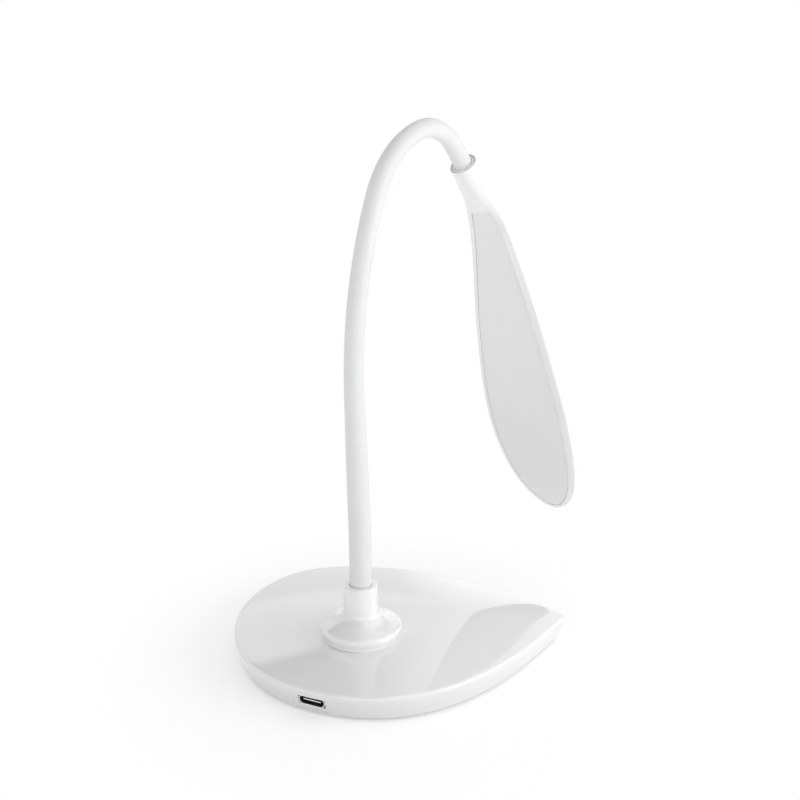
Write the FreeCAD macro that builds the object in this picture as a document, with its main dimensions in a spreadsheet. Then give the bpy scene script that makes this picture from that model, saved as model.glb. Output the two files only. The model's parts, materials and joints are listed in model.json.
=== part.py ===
import FreeCAD, Part
import math
import os
import re
import Sketcher
from FreeCAD import Placement, Rotation, Vector

# Rechargeable desk lamp: a leaf-shaped base, a flexible neck and a leaf-shaped head.
# Millimetres. The origin is on the table, under the axis of the neck's collar.
# +X runs along the leaf to its tip, +Y to the back, away from the charging socket.

DIMENSIONS = {
    # base outline and heights
    "leaf_length": 115.6,
    "leaf_width": 97.2,
    "tip_radius": 1.6,
    "edge_height": 9.0,
    "crown_rise": 4.8,
    "seam_height": 6.3,
    "wall_draft_deg": 14.5,
    "edge_round": 1.1,
    "cover_wall": 1.3,
    "cover_roof": 1.8,
    "seam_step": 0.3,
    "case_wall": 1.9,
    "case_floor": 1.4,
    "case_lift": 0.6,
    "case_foot_bevel": 0.6,
    "lip_height": 0.8,
    "lip_clearance": 0.15,
    # pad under the case
    "pad_inset": 12.5,
    "pad_thickness": 1.0,
    "pad_clearance": 0.2,
    # screws that hold the case to the cover
    "screw_inset": 7.5,
    "case_screw_radius": 1.0,
    "case_screw_length": 5.6,
    "case_screw_head_radius": 1.9,
    "case_screw_head_height": 1.1,
    "case_screw_drive_radius": 0.9,
    "screw_drive_depth": 0.6,
    "screw_hole_clearance": 0.05,
    "screw_pass_clearance": 0.15,
    "screw_sink_clearance": 0.2,
    "case_boss_radius": 3.2,
    "case_boss_height": 1.2,
    "cover_boss_radius": 2.6,
    "boss_clearance": 0.1,
    # collar and the neck's fixing in the base
    "collar_rim_height": 30.0,
    "collar_rim_radius": 5.45,
    "collar_waist_radius": 5.7,
    "collar_waist_height": 21.4,
    "collar_flare_radius": 13.35,
    "collar_flare_height": 15.3,
    "collar_lip_radius": 12.1,
    "collar_lip_height": 16.7,
    "collar_foot_radius": 12.6,
    "collar_foot_height": 13.9,
    "collar_bore_radius": 3.95,
    "collar_mouth_radius": 3.65,
    "collar_recess_height": 12.2,
    "collar_rim_round": 0.5,
    "collar_clearance": 0.05,
    "ferrule_radius": 3.8,
    "ferrule_top": 24.0,
    "ferrule_bottom": 7.6,
    "ferrule_clearance": 0.1,
    "nut_flats": 12.0,
    "nut_thickness": 2.5,
    "washer_radius": 7.0,
    "washer_thickness": 0.5,
    "neck_seat_radius": 8.0,
    "neck_seat_height": 11.0,
    # route of the neck, from the base up, with its arcs in one upright plane
    "arch_azimuth_deg": 45.0,
    "neck_start_height": 9.0,
    "neck_rise": 24.4,
    "lean_radius": 550.0,
    "lean_deg": 2.5,
    "lean_run": 35.3,
    "shoulder_radius": 143.7,
    "shoulder_deg": 24.7,
    "arch_radius": 32.8,
    "arch_deg": 50.5,
    "crook_radius": 17.3,
    "crook_deg": 65.7,
    "neck_end_run": 7.3,
    # neck pieces
    "sleeve_radius_bottom": 3.6,
    "sleeve_radius_top": 3.05,
    "sleeve_bore_radius": 2.35,
    "core_radius": 2.2,
    "core_bore_radius": 1.3,
    "core_gap": 1.3,
    "core_fit": 0.05,
    "lead_radius": 0.9,
    "lead_turn_radius": 3.0,
    "lead_height": 5.5,
    "lead_reach": 7.2,
    "lead_exit_radius": 25.0,
    "lead_exit_deg": 8.0,
    "lead_tail": 8.6,
    # head
    "head_length": 156.3,
    "head_half_width": 16.3,
    "head_depth": 8.6,
    "head_roll_deg": 10.0,
    "socket_radius": 4.6,
    "socket_bore_radius": 3.9,
    "socket_depth": 16.0,
    "sleeve_entry": 5.0,
    "upper_ferrule_radius": 3.75,
    "upper_ferrule_length": 9.0,
    "lead_hole_clearance": 0.3,
    "head_wall": 1.5,
    "head_bezel": 1.5,
    "head_front_crown": 0.3,
    "diffuser_start": 19.5,
    "diffuser_thickness": 1.4,
    "diffuser_sink": 0.15,
    "diffuser_clearance": 0.12,
    "diffuser_ledge": 0.9,
    "led_board_start": 27.0,
    "led_board_end_gap": 20.0,
    "led_board_depth": 4.4,
    "led_board_thickness": 0.8,
    "led_board_clearance": 0.25,
    "led_width": 2.8,
    "led_length": 3.5,
    "led_height": 0.7,
    "solder_gap": 0.05,
    # charging socket
    "port_azimuth_deg": 241.0,
    "port_height": 4.6,
    "port_recess": 0.5,
    "port_shell_width": 8.94,
    "port_shell_height": 3.26,
    "port_shell_length": 7.3,
    "port_shell_wall": 0.3,
    "port_shell_floor": 0.4,
    "port_tongue_width": 6.69,
    "port_tongue_thickness": 0.7,
    "port_tongue_length": 4.45,
    "port_carrier_length": 1.2,
    "port_carrier_clearance": 0.04,
    "port_clearance": 0.12,
    "port_surround_width": 12.4,
    "port_surround_height": 6.2,
    "port_surround_radius": 1.6,
    "port_surround_depth": 0.5,
    # main board
    "board_length": 22.0,
    "board_width": 32.0,
    "board_thickness": 1.2,
    "board_height": 3.2,
    "board_wall_gap": 1.0,
    "board_edge_gap": 0.5,
    "board_screw_radius": 0.8,
    "board_screw_head_radius": 1.5,
    "board_screw_head_height": 0.8,
    "board_screw_length": 2.3,
    "board_screw_drive_radius": 0.7,
    "board_boss_radius": 2.2,
    "board_screw_edge": 2.6,
    "chip_height": 1.1,
    "touch_spring_length": 6.0,
    "touch_spring_width": 3.0,
    "touch_spring_thickness": 0.3,
    "touch_spring_gap": 0.2,
    # counterweight and cell
    "weight_length": 56.0,
    "weight_width": 36.0,
    "weight_thickness": 2.0,
    "weight_round": 3.0,
    "cell_length": 50.0,
    "cell_width": 34.0,
    "cell_thickness": 4.0,
    "cell_round": 1.2,
    "tape_thickness": 0.2,
    "tape_inset": 3.0,
    "cell_side": 2.0,
    "cell_back": 27.0,
    # one overrun for every cut
    "overrun": 2.0,
}

os.makedirs("parts", exist_ok=True)
doc = FreeCAD.newDocument("leaf_desk_lamp")
sheet = doc.addObject("Spreadsheet::Sheet", "Dimensions")
for row, (alias, value) in enumerate(DIMENSIONS.items(), start=1):
    sheet.set(f"A{row}", alias)
    sheet.set(f"B{row}", str(value))
    sheet.setAlias(f"B{row}", alias)
doc.recompute()

PIECES = {}
QUARTER_TURN = 90


def dim(alias):
    """A driving dimension, read from the sheet."""
    return float(getattr(sheet, alias))


def bound(formula):
    """A formula of dimension names, written so that an object's property can follow the sheet."""
    return re.sub(r"[a-z_]+", lambda w: f"Dimensions.{w[0]}" if w[0] in DIMENSIONS else w[0], formula)


def value_of(formula):
    """What a formula of dimension names gives now."""
    return float(sheet.evalExpression(bound(formula)))


def bind(item, **formulas):
    """Binds properties of an object to formulas; a double underscore stands for a dot."""
    for name, formula in formulas.items():
        item.setExpression(name.replace("__", "."), bound(formula))
    return item


def piece(item, label, placement=None):
    """Names an object as a sub-part that is written to its own file."""
    item.Label = label
    if placement is not None:
        item.Placement = placement
    PIECES[label] = item
    return item


def solid_feature(label, shape):
    """A sub-part whose shape is made with Part's own functions."""
    item = doc.addObject("Part::Feature", label)
    item.Shape = shape
    return piece(item, label)


def cylinder(name, radius, height, bottom="0"):
    item = doc.addObject("Part::Cylinder", name)
    bind(item, Radius=radius, Height=height, Placement__Base__z=bottom)
    return item


def box(name, length, width, height, corner=("0", "0", "0")):
    item = doc.addObject("Part::Box", name)
    bind(item, Length=length, Width=width, Height=height)
    bind(item, Placement__Base__x=corner[0], Placement__Base__y=corner[1], Placement__Base__z=corner[2])
    return item


def cut(name, base, tool):
    item = doc.addObject("Part::Cut", name)
    item.Base = base
    item.Tool = tool
    return item


def fuse(name, items):
    item = doc.addObject("Part::MultiFuse", name)
    item.Shapes = items
    return item


def origin_plane(body, role):
    return next(f for f in body.Origin.OriginFeatures if f.Role == role)


def outline_sketch(body, role, name, corners, arcs=None):
    """A closed sketch whose corners follow formulas; arcs maps an edge's number to its middle point."""
    sketch = body.newObject("Sketcher::SketchObject", name)
    sketch.AttachmentSupport = (origin_plane(body, role), [""])
    sketch.MapMode = "FlatFace"
    arcs = arcs or {}
    points = [Vector(value_of(a), value_of(b), 0) for a, b in corners]
    count = len(points)
    for i, start in enumerate(points):
        end = points[(i + 1) % count]
        if i in arcs:
            middle = Vector(value_of(arcs[i][0]), value_of(arcs[i][1]), 0)
            sketch.addGeometry(Part.Arc(start, middle, end), False)
        else:
            sketch.addGeometry(Part.LineSegment(start, end), False)
    first = [sketch_end(sketch, i, points[i]) for i in range(count)]
    last = [3 - f for f in first]
    for i in range(count):
        following = (i + 1) % count
        sketch.addConstraint(Sketcher.Constraint("Coincident", i, last[i], following, first[following]))
    for i, (a, b) in enumerate(corners):
        pin(sketch, "DistanceX", i, first[i], a)
        pin(sketch, "DistanceY", i, first[i], b)
    return sketch


def sketch_end(sketch, number, point):
    """1 where the edge starts at the point and 2 where it ends there; an arc may run backwards."""
    start = sketch.getPoint(number, 1)
    return 1 if (start - point).Length < (sketch.getPoint(number, 2) - point).Length else 2


def pin(sketch, kind, number, end, formula):
    """Ties one end of an edge to a distance from the sketch's origin."""
    index = sketch.addConstraint(Sketcher.Constraint(kind, -1, 1, number, end, value_of(formula)))
    sketch.setExpression(f"Constraints[{index}]", bound(formula))


def revolved_body(name, corners, arcs=None):
    """A body turned about the Z axis from a half profile of (radius, height) corners."""
    body = doc.addObject("PartDesign::Body", name)
    profile = outline_sketch(body, "XZ_Plane", name + "_profile", corners, arcs)
    turn = body.newObject("PartDesign::Revolution", name + "_turn")
    turn.Profile = profile
    turn.ReferenceAxis = (profile, ["V_Axis"])
    turn.Angle = 360
    profile.Visibility = False
    return body


# Leaf outline of the base


# Places on the leaf's edge, from the tip round the front, the left end and the back,
# as shares of the leaf's length and width, counted from the neck's axis.
TIP_SHARES = (0.630, 0.143)
LEAF_EDGE_SHARES = [
    (0.479, -0.071),
    (0.305, -0.257),
    (0.089, -0.358),
    (-0.139, -0.303),
    (-0.310, -0.117),
    (-0.370, 0.149),
    (-0.321, 0.420),
    (-0.161, 0.616),
    (0.070, 0.623),
    (0.286, 0.518),
    (0.475, 0.352),
]


def leaf_place(shares):
    return Vector(shares[0] * dim("leaf_length"), shares[1] * dim("leaf_width"), 0)


def leaf_curve():
    curve = Part.BSplineCurve()
    tip = leaf_place(TIP_SHARES)
    curve.interpolate([tip] + [leaf_place(s) for s in LEAF_EDGE_SHARES] + [tip])
    return curve


LEAF = leaf_curve()
EDGE_PARAMETERS = [LEAF.parameter(leaf_place(s)) for s in LEAF_EDGE_SHARES]


def even_parameters():
    """The parameters of the outline's places, with one more between each pair."""
    places = [LEAF.FirstParameter] + EDGE_PARAMETERS + [LEAF.LastParameter]
    between = [(a + b) / 2 for a, b in zip(places[:-1], places[1:])]
    return sorted(EDGE_PARAMETERS + between)


OFFSET_PARAMETERS = even_parameters()


def inward(parameter):
    """The level unit vector from the leaf's edge to its inside."""
    along = LEAF.tangent(parameter)[0]
    return Vector(along.y, -along.x, 0).normalize()


# How much further than the drawn-in tip the first place of an outline lies
TIP_ROOM_SHARE = 1.3


def leaf_wire(inset, height):
    """The leaf's outline, drawn in by an inset and with its tip rounded, at a height."""
    start, end = LEAF.FirstParameter, LEAF.LastParameter
    leaving, arriving = LEAF.tangent(start)[0], LEAF.tangent(end)[0]
    side, other = inward(start), inward(end)
    tip = leaf_place(TIP_SHARES) + (side + other) * (inset / (1 + side.dot(other)))
    half_angle = leaving.getAngle(-arriving) / 2
    run = dim("tip_radius") / math.tan(half_angle)
    bisector = (leaving - arriving).normalize()
    middle = tip + bisector * (dim("tip_radius") / math.sin(half_angle) - dim("tip_radius"))
    near, far = tip + leaving * run, tip - arriving * run
    taken = TIP_ROOM_SHARE * (inset + dim("tip_radius")) / math.tan(half_angle)
    parameters = [p for p in OFFSET_PARAMETERS if start + taken < p < end - taken]
    places = [LEAF.value(p) + inward(p) * inset for p in parameters]
    side_curve = Part.BSplineCurve()
    side_curve.interpolate(
        Points=[near] + places + [far],
        Parameters=[start] + parameters + [end],
        InitialTangent=leaving * ((places[0] - near).Length / (parameters[0] - start)),
        FinalTangent=arriving * ((far - places[-1]).Length / (end - parameters[-1])),
        Scale=False,
    )
    edges = [side_curve.toShape(), Part.Arc(far, middle, near).toShape()]
    wire = Part.Wire(edges)
    wire.translate(Vector(0, 0, height))
    return wire


def draft_inset(height):
    """How far the drafted wall stands inside the leaf's edge at a height."""
    return (dim("edge_height") - height) * math.tan(math.radians(dim("wall_draft_deg")))


def leaf_solid(extra, low, high, drafted=True):
    """The leaf between two heights, an extra inset inside the drafted wall."""
    insets = [extra + draft_inset(z) if drafted else extra for z in (low, high)]
    return Part.makeLoft([leaf_wire(insets[0], low), leaf_wire(insets[1], high)], True, True)


# Crown of the cover


CROWN_CENTER_SHARES = (0.130, 0.141)
CROWN_HALF_SHARE = 0.58
CROWN_COLUMNS = 12
CROWN_SMOOTHING_DEG = 10
OUTLINE_SAMPLES = 180


def edge_reach():
    """Distance from the crown's centre to the leaf's edge by angle, smoothed past the tip."""
    center = leaf_place(CROWN_CENTER_SHARES)
    span = LEAF.LastParameter - LEAF.FirstParameter
    parameters = [LEAF.FirstParameter + span * i / OUTLINE_SAMPLES for i in range(OUTLINE_SAMPLES)]
    rays = [LEAF.value(p) - center for p in parameters]
    turns = [(math.degrees(math.atan2(r.y, r.x)), r.Length) for r in rays]

    def reach(angle):
        near = [r for a, r in turns if abs((a - angle + 180) % 360 - 180) <= CROWN_SMOOTHING_DEG]
        return sum(near) / len(near)

    return reach


def crown_surface():
    """The domed top of the base as one smooth surface that meets the edge height at the outline."""
    center, reach = leaf_place(CROWN_CENTER_SHARES), edge_reach()
    half_x, half_y = CROWN_HALF_SHARE * dim("leaf_length"), CROWN_HALF_SHARE * dim("leaf_width")
    grid = []
    for i in range(CROWN_COLUMNS + 1):
        line = []
        for j in range(CROWN_COLUMNS + 1):
            x = half_x * (2 * i / CROWN_COLUMNS - 1)
            y = half_y * (2 * j / CROWN_COLUMNS - 1)
            share = math.hypot(x, y) / reach(math.degrees(math.atan2(y, x)))
            rise = dim("crown_rise") * (1 - share**2)
            line.append(center + Vector(x, y, dim("edge_height") + rise))
        grid.append(line)
    surface = Part.BSplineSurface()
    surface.interpolate(grid)
    return surface


CROWN = crown_surface()


def under_crown(lowering):
    """Everything below the crown when it is lowered by a thickness."""
    face = CROWN.toShape()
    face.translate(Vector(0, 0, -lowering))
    return face.extrude(Vector(0, 0, -4 * dim("edge_height")))


def upright_edges(shape):
    return [e for e in shape.Edges if abs(e.tangentAt(e.FirstParameter).z) > math.sqrt(0.5)]


def crown_height(x, y):
    u, v = CROWN.parameter(Vector(x, y, dim("edge_height") + dim("crown_rise")))
    return CROWN.value(u, v).z


# Places of the screws and the charging socket


def screw_places():
    """Four screw axes, a named inset inside the leaf's edge."""
    numbers = (1, 4, 7, 10)
    return [LEAF.value(p) + inward(p) * dim("screw_inset") for p in (EDGE_PARAMETERS[n] for n in numbers)]


def port_frame():
    """The socket's mouth: local X along the slot, local Y up, local Z out of the base."""
    facing = math.radians(dim("port_azimuth_deg"))
    outward = Vector(math.cos(facing), math.sin(facing), 0)
    span = LEAF.LastParameter - LEAF.FirstParameter
    samples = [LEAF.FirstParameter + span * i / OUTLINE_SAMPLES for i in range(1, OUTLINE_SAMPLES)]
    best = max(samples, key=lambda p: -inward(p).dot(outward))
    inset = draft_inset(dim("port_height")) + dim("seam_step") + dim("port_recess")
    mouth = LEAF.value(best) - outward * inset + Vector(0, 0, dim("port_height"))
    along = Vector(0, 0, 1).cross(outward)
    return Placement(mouth, Rotation(along, Vector(0, 0, 1), outward, "ZXY"))


PORT = port_frame()


def in_port(x, y, z, turn=None):
    """A placement given in the socket's frame."""
    return PORT.multiply(Placement(Vector(x, y, z), turn or Rotation()))


# The board's frame: X across the socket, Y into the base, Z up, at the board's front edge
def board_frame():
    front = PORT.multVec(Vector(0, 0, dim("port_recess") - dim("case_wall") - dim("board_wall_gap")))
    front.z = dim("board_height")
    inward_way = PORT.Rotation.multVec(Vector(0, 0, -1))
    across = inward_way.cross(Vector(0, 0, 1))
    return Placement(front, Rotation(across, inward_way, Vector(0, 0, 1), "ZXY"))


BOARD = board_frame()


def board_screw_places():
    """Two screws near the board's inner corners, in the board's frame."""
    side = dim("board_width") / 2 - dim("board_screw_edge")
    depth = dim("board_length") - dim("board_screw_edge")
    return [Vector(-side, depth, 0), Vector(side, depth, 0)]


def column(center, radius, low, high):
    return Part.makeCylinder(radius, high - low, Vector(center.x, center.y, low))


# Base shells


def base_top_cover():
    low, high = dim("seam_height"), dim("edge_height") + 2 * dim("crown_rise")
    outer = leaf_solid(0, low, high).common(under_crown(0))
    top_edges = [e for e in outer.Edges if e.BoundBox.ZMin > dim("edge_height") - dim("crown_rise") / 2]
    outer = outer.makeFillet(dim("edge_round"), top_edges)
    hollow = leaf_solid(dim("cover_wall"), low - dim("overrun"), high).common(under_crown(dim("cover_roof")))
    cover = outer.cut(hollow)
    roof = under_crown(dim("cover_roof") / 2)
    boss_low = dim("case_lift") + dim("case_floor") + dim("case_boss_height") + dim("boss_clearance")
    bosses = [column(p, dim("cover_boss_radius"), boss_low, high).common(roof) for p in screw_places()]
    neck = Vector(0, 0, 0)
    cover = cover.cut(column(neck, dim("neck_seat_radius"), low, dim("neck_seat_height")))
    bosses.append(column(neck, dim("neck_seat_radius"), dim("neck_seat_height"), high).common(roof))
    cover = cover.fuse(bosses).removeSplitter()
    pilot_radius = dim("case_screw_radius") + dim("screw_hole_clearance")
    pilot_top = boss_low + dim("case_screw_length")
    holes = [column(p, pilot_radius, boss_low - dim("overrun"), pilot_top) for p in screw_places()]
    holes.append(column(neck, dim("ferrule_radius") + dim("ferrule_clearance"), low, high))
    recess_radius = dim("collar_foot_radius") + dim("collar_clearance")
    holes.append(column(neck, recess_radius, dim("collar_recess_height") - dim("collar_clearance"), high))
    return cover.cut(holes)


def port_cutters():
    """The notch for the socket and the shallow rounded surround, as solids in the part's frame."""
    half = dim("port_shell_width") / 2 + dim("port_clearance")
    low = dim("port_height") - dim("port_shell_height") / 2 - dim("port_clearance")
    depth = dim("case_wall") + 2 * dim("overrun")
    notch = Part.makeBox(2 * half, dim("seam_height") + dim("lip_height") + dim("overrun") - low, depth)
    notch.Placement = in_port(-half, low - dim("port_height"), dim("overrun") - depth)
    width, height = dim("port_surround_width"), dim("port_surround_height")
    surround = Part.makeBox(width, height, dim("overrun"))
    surround = surround.makeFillet(dim("port_surround_radius"), upright_edges(surround))
    surround.translate(Vector(-width / 2, -height / 2, dim("port_recess") - dim("port_surround_depth")))
    tilt = Rotation(Vector(1, 0, 0), dim("wall_draft_deg"))
    surround.Placement = in_port(0, 0, 0, tilt).multiply(surround.Placement)
    return [notch, surround]


def base_bottom_case():
    low, high = dim("case_lift"), dim("seam_height")
    floor_top = low + dim("case_floor")
    bevel = dim("case_foot_bevel")
    foot_top = low + bevel
    wall = draft_inset(foot_top) + dim("seam_step")
    foot = Part.makeLoft([leaf_wire(wall + bevel, low), leaf_wire(wall, foot_top)], True, True)
    outer = leaf_solid(dim("seam_step"), foot_top, high).fuse(foot)
    inner_inset = dim("seam_step") + dim("case_wall")
    lip = leaf_solid(dim("cover_wall") + dim("lip_clearance"), floor_top, high + dim("lip_height"))
    lip = lip.common(under_crown(dim("cover_roof") + dim("lip_clearance")))
    case = outer.fuse(lip)
    case = case.cut(leaf_solid(inner_inset, floor_top, high + dim("lip_height") + dim("overrun")))
    boss_top = floor_top + dim("case_boss_height")
    bosses = [column(p, dim("case_boss_radius"), foot_top, boss_top) for p in screw_places()]
    posts = [BOARD.multVec(p) for p in board_screw_places()]
    post_low = floor_top - dim("case_floor") / 2
    bosses += [column(p, dim("board_boss_radius"), post_low, dim("board_height")) for p in posts]
    case = case.fuse(bosses)
    pocket_inset = dim("pad_inset") - dim("pad_clearance")
    pocket = leaf_solid(pocket_inset, -dim("overrun"), dim("pad_thickness"), drafted=False)
    sink_radius = dim("case_screw_head_radius") + dim("screw_sink_clearance")
    pass_radius = dim("case_screw_radius") + dim("screw_pass_clearance")
    sinks = [column(p, sink_radius, -dim("overrun"), screw_seat()) for p in screw_places()]
    passes = [column(p, pass_radius, -dim("overrun"), boss_top + dim("overrun")) for p in screw_places()]
    blind_radius = dim("board_screw_radius") + dim("screw_hole_clearance")
    board_top = dim("board_height") + dim("board_thickness")
    blind_bottom = board_top - dim("board_screw_length") - dim("boss_clearance")
    blinds = [column(p, blind_radius, blind_bottom, dim("board_height") + dim("overrun")) for p in posts]
    return case.cut([pocket] + sinks + passes + blinds + port_cutters())


def screw_seat():
    """Height of the case's face under which the screw heads seat."""
    return dim("case_lift") + dim("case_screw_head_height") + dim("screw_sink_clearance")


# Route of the neck


def route_pieces():
    """The neck's route as (length, turn in degrees), up from the base; a turn to the right is negative."""
    arcs = [("lean", 1), ("shoulder", -1), ("arch", -1), ("crook", -1), ("lead_exit", 1)]
    bends = {}
    for name, way in arcs:
        turn = dim(name + "_deg")
        bends[name] = (dim(name + "_radius") * math.radians(turn), way * turn)
    return [
        (dim("neck_rise"), 0),
        bends["lean"],
        (dim("lean_run"), 0),
        bends["shoulder"],
        bends["arch"],
        bends["crook"],
        (dim("neck_end_run") + dim("sleeve_entry") + dim("upper_ferrule_length"), 0),
        bends["lead_exit"],
        (dim("lead_tail"), 0),
    ]


def in_arch_plane(across, up):
    """A point of the upright plane that holds the neck, from its distance to the axis and its height."""
    azimuth = math.radians(dim("arch_azimuth_deg"))
    return Vector(across * math.cos(azimuth), across * math.sin(azimuth), up)


def route_state(distance):
    """Where the route is after a distance, and its heading in degrees above the level."""
    across, up, heading, left = 0.0, dim("neck_start_height"), 90.0, distance
    for length, turn in route_pieces():
        step = min(left, length)
        part_turn = turn * step / length
        chord = step
        if turn:
            radius = length / math.radians(abs(turn))
            chord = 2 * radius * math.sin(math.radians(abs(part_turn)) / 2)
        way = math.radians(heading + part_turn / 2)
        across, up = across + chord * math.cos(way), up + chord * math.sin(way)
        heading += part_turn
        left -= step
        if left <= 0:
            break
    return in_arch_plane(across, up), heading


def route_direction(heading):
    way = math.radians(heading)
    return in_arch_plane(math.cos(way), math.sin(way))


def rod(start, end, radius, taper_to=None):
    """A round solid along the route between two distances, which may taper on one straight."""
    solids, at, size = [], 0.0, radius
    for number, (length, turn) in enumerate(route_pieces()):
        low, high = max(start, at), min(end, at + length)
        if high > low:
            place, heading = route_state(low)
            last = size
            if taper_to is not None and number == TAPER_PIECE:
                last = taper_to
            if turn:
                bend_radius = length / math.radians(turn)
                solids.append(ring_stretch(place, heading, size, bend_radius, turn * (high - low) / length))
            elif last != size:
                solids.append(Part.makeCone(size, last, high - low, place, route_direction(heading)))
            else:
                solids.append(Part.makeCylinder(size, high - low, place, route_direction(heading)))
            size = last
        at += length
    whole = solids[0]
    return whole.multiFuse(solids[1:]).removeSplitter() if solids[1:] else whole


# The route's piece on which the sleeve tapers
TAPER_PIECE = 2


def ring_stretch(place, heading, radius, bend_radius, turn):
    """A stretch of a round ring that leaves a place with a heading and turns to the left by an angle."""
    level = route_direction(heading).cross(route_direction(heading + 90))
    center = place + route_direction(heading + 90) * bend_radius
    outline = Part.Wire(Part.Circle(place, route_direction(heading), radius).toShape())
    return Part.Face(outline).revolve(center, level * math.copysign(1, bend_radius), abs(turn))


ROUTE_END = sum(length for length, _ in route_pieces())
RING = sum(length for length, _ in route_pieces()[:-2]) - dim("sleeve_entry") - dim("upper_ferrule_length")
RIM = dim("collar_rim_height") - dim("neck_start_height")
FERRULE_END = dim("ferrule_top") - dim("neck_start_height")

# Where the neck bends, as shares of its free length between the collar's rim and the head's ring
BEND_SHARES = (0.08, 0.20, 0.325, 0.46, 0.59, 0.71, 0.82, 0.92)


def bend_distances():
    return [RIM + share * (RING - RIM) for share in BEND_SHARES]


def neck_core_sections():
    """The metal hose as one section between each pair of bends, with a gap at each bend."""
    ends = [0.0] + bend_distances() + [RING + dim("sleeve_entry") + dim("upper_ferrule_length")]
    gap = dim("core_gap") / 2
    for number, (low, high) in enumerate(zip(ends[:-1], ends[1:])):
        start = low if number == 0 else low + gap
        end = high if number == len(ends) - 2 else high - gap
        shell = rod(start, end, dim("core_radius"))
        bore = rod(max(start - gap, 0), end + gap, dim("core_bore_radius")) if number else None
        if bore is None:
            bore = rod(start, end + gap, dim("core_bore_radius"))
        solid_feature(f"neck_core_{number}", shell.cut(bore))


def neck_sleeve():
    clear = dim("ferrule_clearance")
    start, end = FERRULE_END + clear, RING + dim("sleeve_entry") - clear
    outer = rod(start, end, dim("sleeve_radius_bottom"), dim("sleeve_radius_top"))
    return outer.cut(rod(start - clear, end + clear, dim("sleeve_bore_radius")))


def neck_lead():
    """The two-core lead from the board, up through the hose and into the head."""
    radius, turn, height = dim("lead_radius"), dim("lead_turn_radius"), dim("lead_height")
    level = BOARD.Rotation.multVec(Vector(0, -1, 0))
    foot = level * dim("lead_reach") + Vector(0, 0, height)
    run = Part.makeCylinder(radius, dim("lead_reach") - turn, foot, -level)
    corner = level * turn + Vector(0, 0, height)
    outline = Part.Face(Part.Wire(Part.Circle(corner, -level, radius).toShape()))
    bend = outline.revolve(corner + Vector(0, 0, turn), level.cross(Vector(0, 0, 1)), -QUARTER_TURN)
    riser = Part.makeCylinder(radius, dim("neck_start_height") - height - turn, Vector(0, 0, height + turn))
    return run.multiFuse([bend, riser, rod(0, ROUTE_END, radius)]).removeSplitter()


# Head


# Places on the head's front centre line, past the ring: how far along the head, and how far off
# the straight line of the neck's end, as shares of the head's length
HEAD_LINE_SHARES = [
    (0.152, -0.0175),
    (0.357, -0.090),
    (0.563, -0.170),
    (0.774, -0.233),
    (0.9615, -0.2675),
]

# Sections of the head: how far along, half width, front bulge and depth as shares of the head's
# length, half width, socket radius and depth, and how square the back is
HEAD_SECTION_SHARES = [
    (0.000, 0.282, 1.000, 0.535, 0.55),
    (0.050, 0.292, 0.930, 0.570, 0.58),
    (0.100, 0.340, 0.600, 0.730, 0.65),
    (0.155, 0.415, 0.110, 0.940, 0.76),
    (0.230, 0.525, 0.065, 0.990, 0.82),
    (0.370, 0.735, 0.065, 1.010, 0.85),
    (0.520, 0.900, 0.065, 0.990, 0.86),
    (0.665, 1.000, 0.065, 0.940, 0.86),
    (0.740, 0.988, 0.065, 0.890, 0.85),
    (0.815, 0.920, 0.065, 0.805, 0.83),
    (0.890, 0.790, 0.060, 0.680, 0.82),
    (0.945, 0.600, 0.050, 0.560, 0.79),
    (0.978, 0.390, 0.040, 0.460, 0.76),
    (0.994, 0.200, 0.030, 0.380, 0.72),
    (1.000, 0.060, 0.020, 0.330, 0.69),
]


def head_line():
    start, heading = route_state(RING)
    along = route_direction(heading)
    aside = in_arch_plane(math.sin(math.radians(heading)), -math.cos(math.radians(heading)))
    length = dim("head_length")
    places = [start + along * (a * length) - aside * (b * length) for a, b in HEAD_LINE_SHARES]
    curve = Part.BSplineCurve()
    last = places[-1] - places[-2]
    curve.interpolate(Points=[start] + places, InitialTangent=along, FinalTangent=last, Scale=True)
    return curve


HEAD_LINE = head_line()
HEAD_EDGE = HEAD_LINE.toShape()


def head_frame(share):
    """On the head's front centre line: local X across to the right, Y to the back, Z along the head."""
    reach = HEAD_EDGE.Length * share
    parameter = HEAD_EDGE.getParameterByLength(reach)
    point, along = HEAD_EDGE.valueAt(parameter), HEAD_EDGE.tangentAt(parameter)
    azimuth = math.radians(dim("arch_azimuth_deg"))
    level = Vector(math.sin(azimuth), -math.cos(azimuth), 0)
    back = level.cross(along)
    if back.dot(in_arch_plane(1, 0)) < 0:
        back = -back
    roll = math.radians(dim("head_roll_deg"))
    across = level * math.cos(roll) + back * math.sin(roll)
    rear = across.cross(along)
    if rear.dot(back) < 0:
        rear = -rear
    return point, across, rear


def section_values(share):
    """Half width, front bulge, depth and squareness of the head at a share of its length."""
    table = HEAD_SECTION_SHARES
    for low, high in zip(table[:-1], table[1:]):
        if share <= high[0]:
            break
    t = (share - low[0]) / (high[0] - low[0])
    width, bulge, depth, squareness = (a + (b - a) * t for a, b in zip(low[1:], high[1:]))
    return (
        width * dim("head_half_width"),
        bulge * dim("socket_radius"),
        depth * dim("head_depth"),
        squareness,
    )


# Knots of the back's two quarters, and how far out a flat front's poles stand
BACK_KNOT_SHARES = [0, 0.5, 1]
FLAT_POLE_SHARE = 0.55


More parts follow.
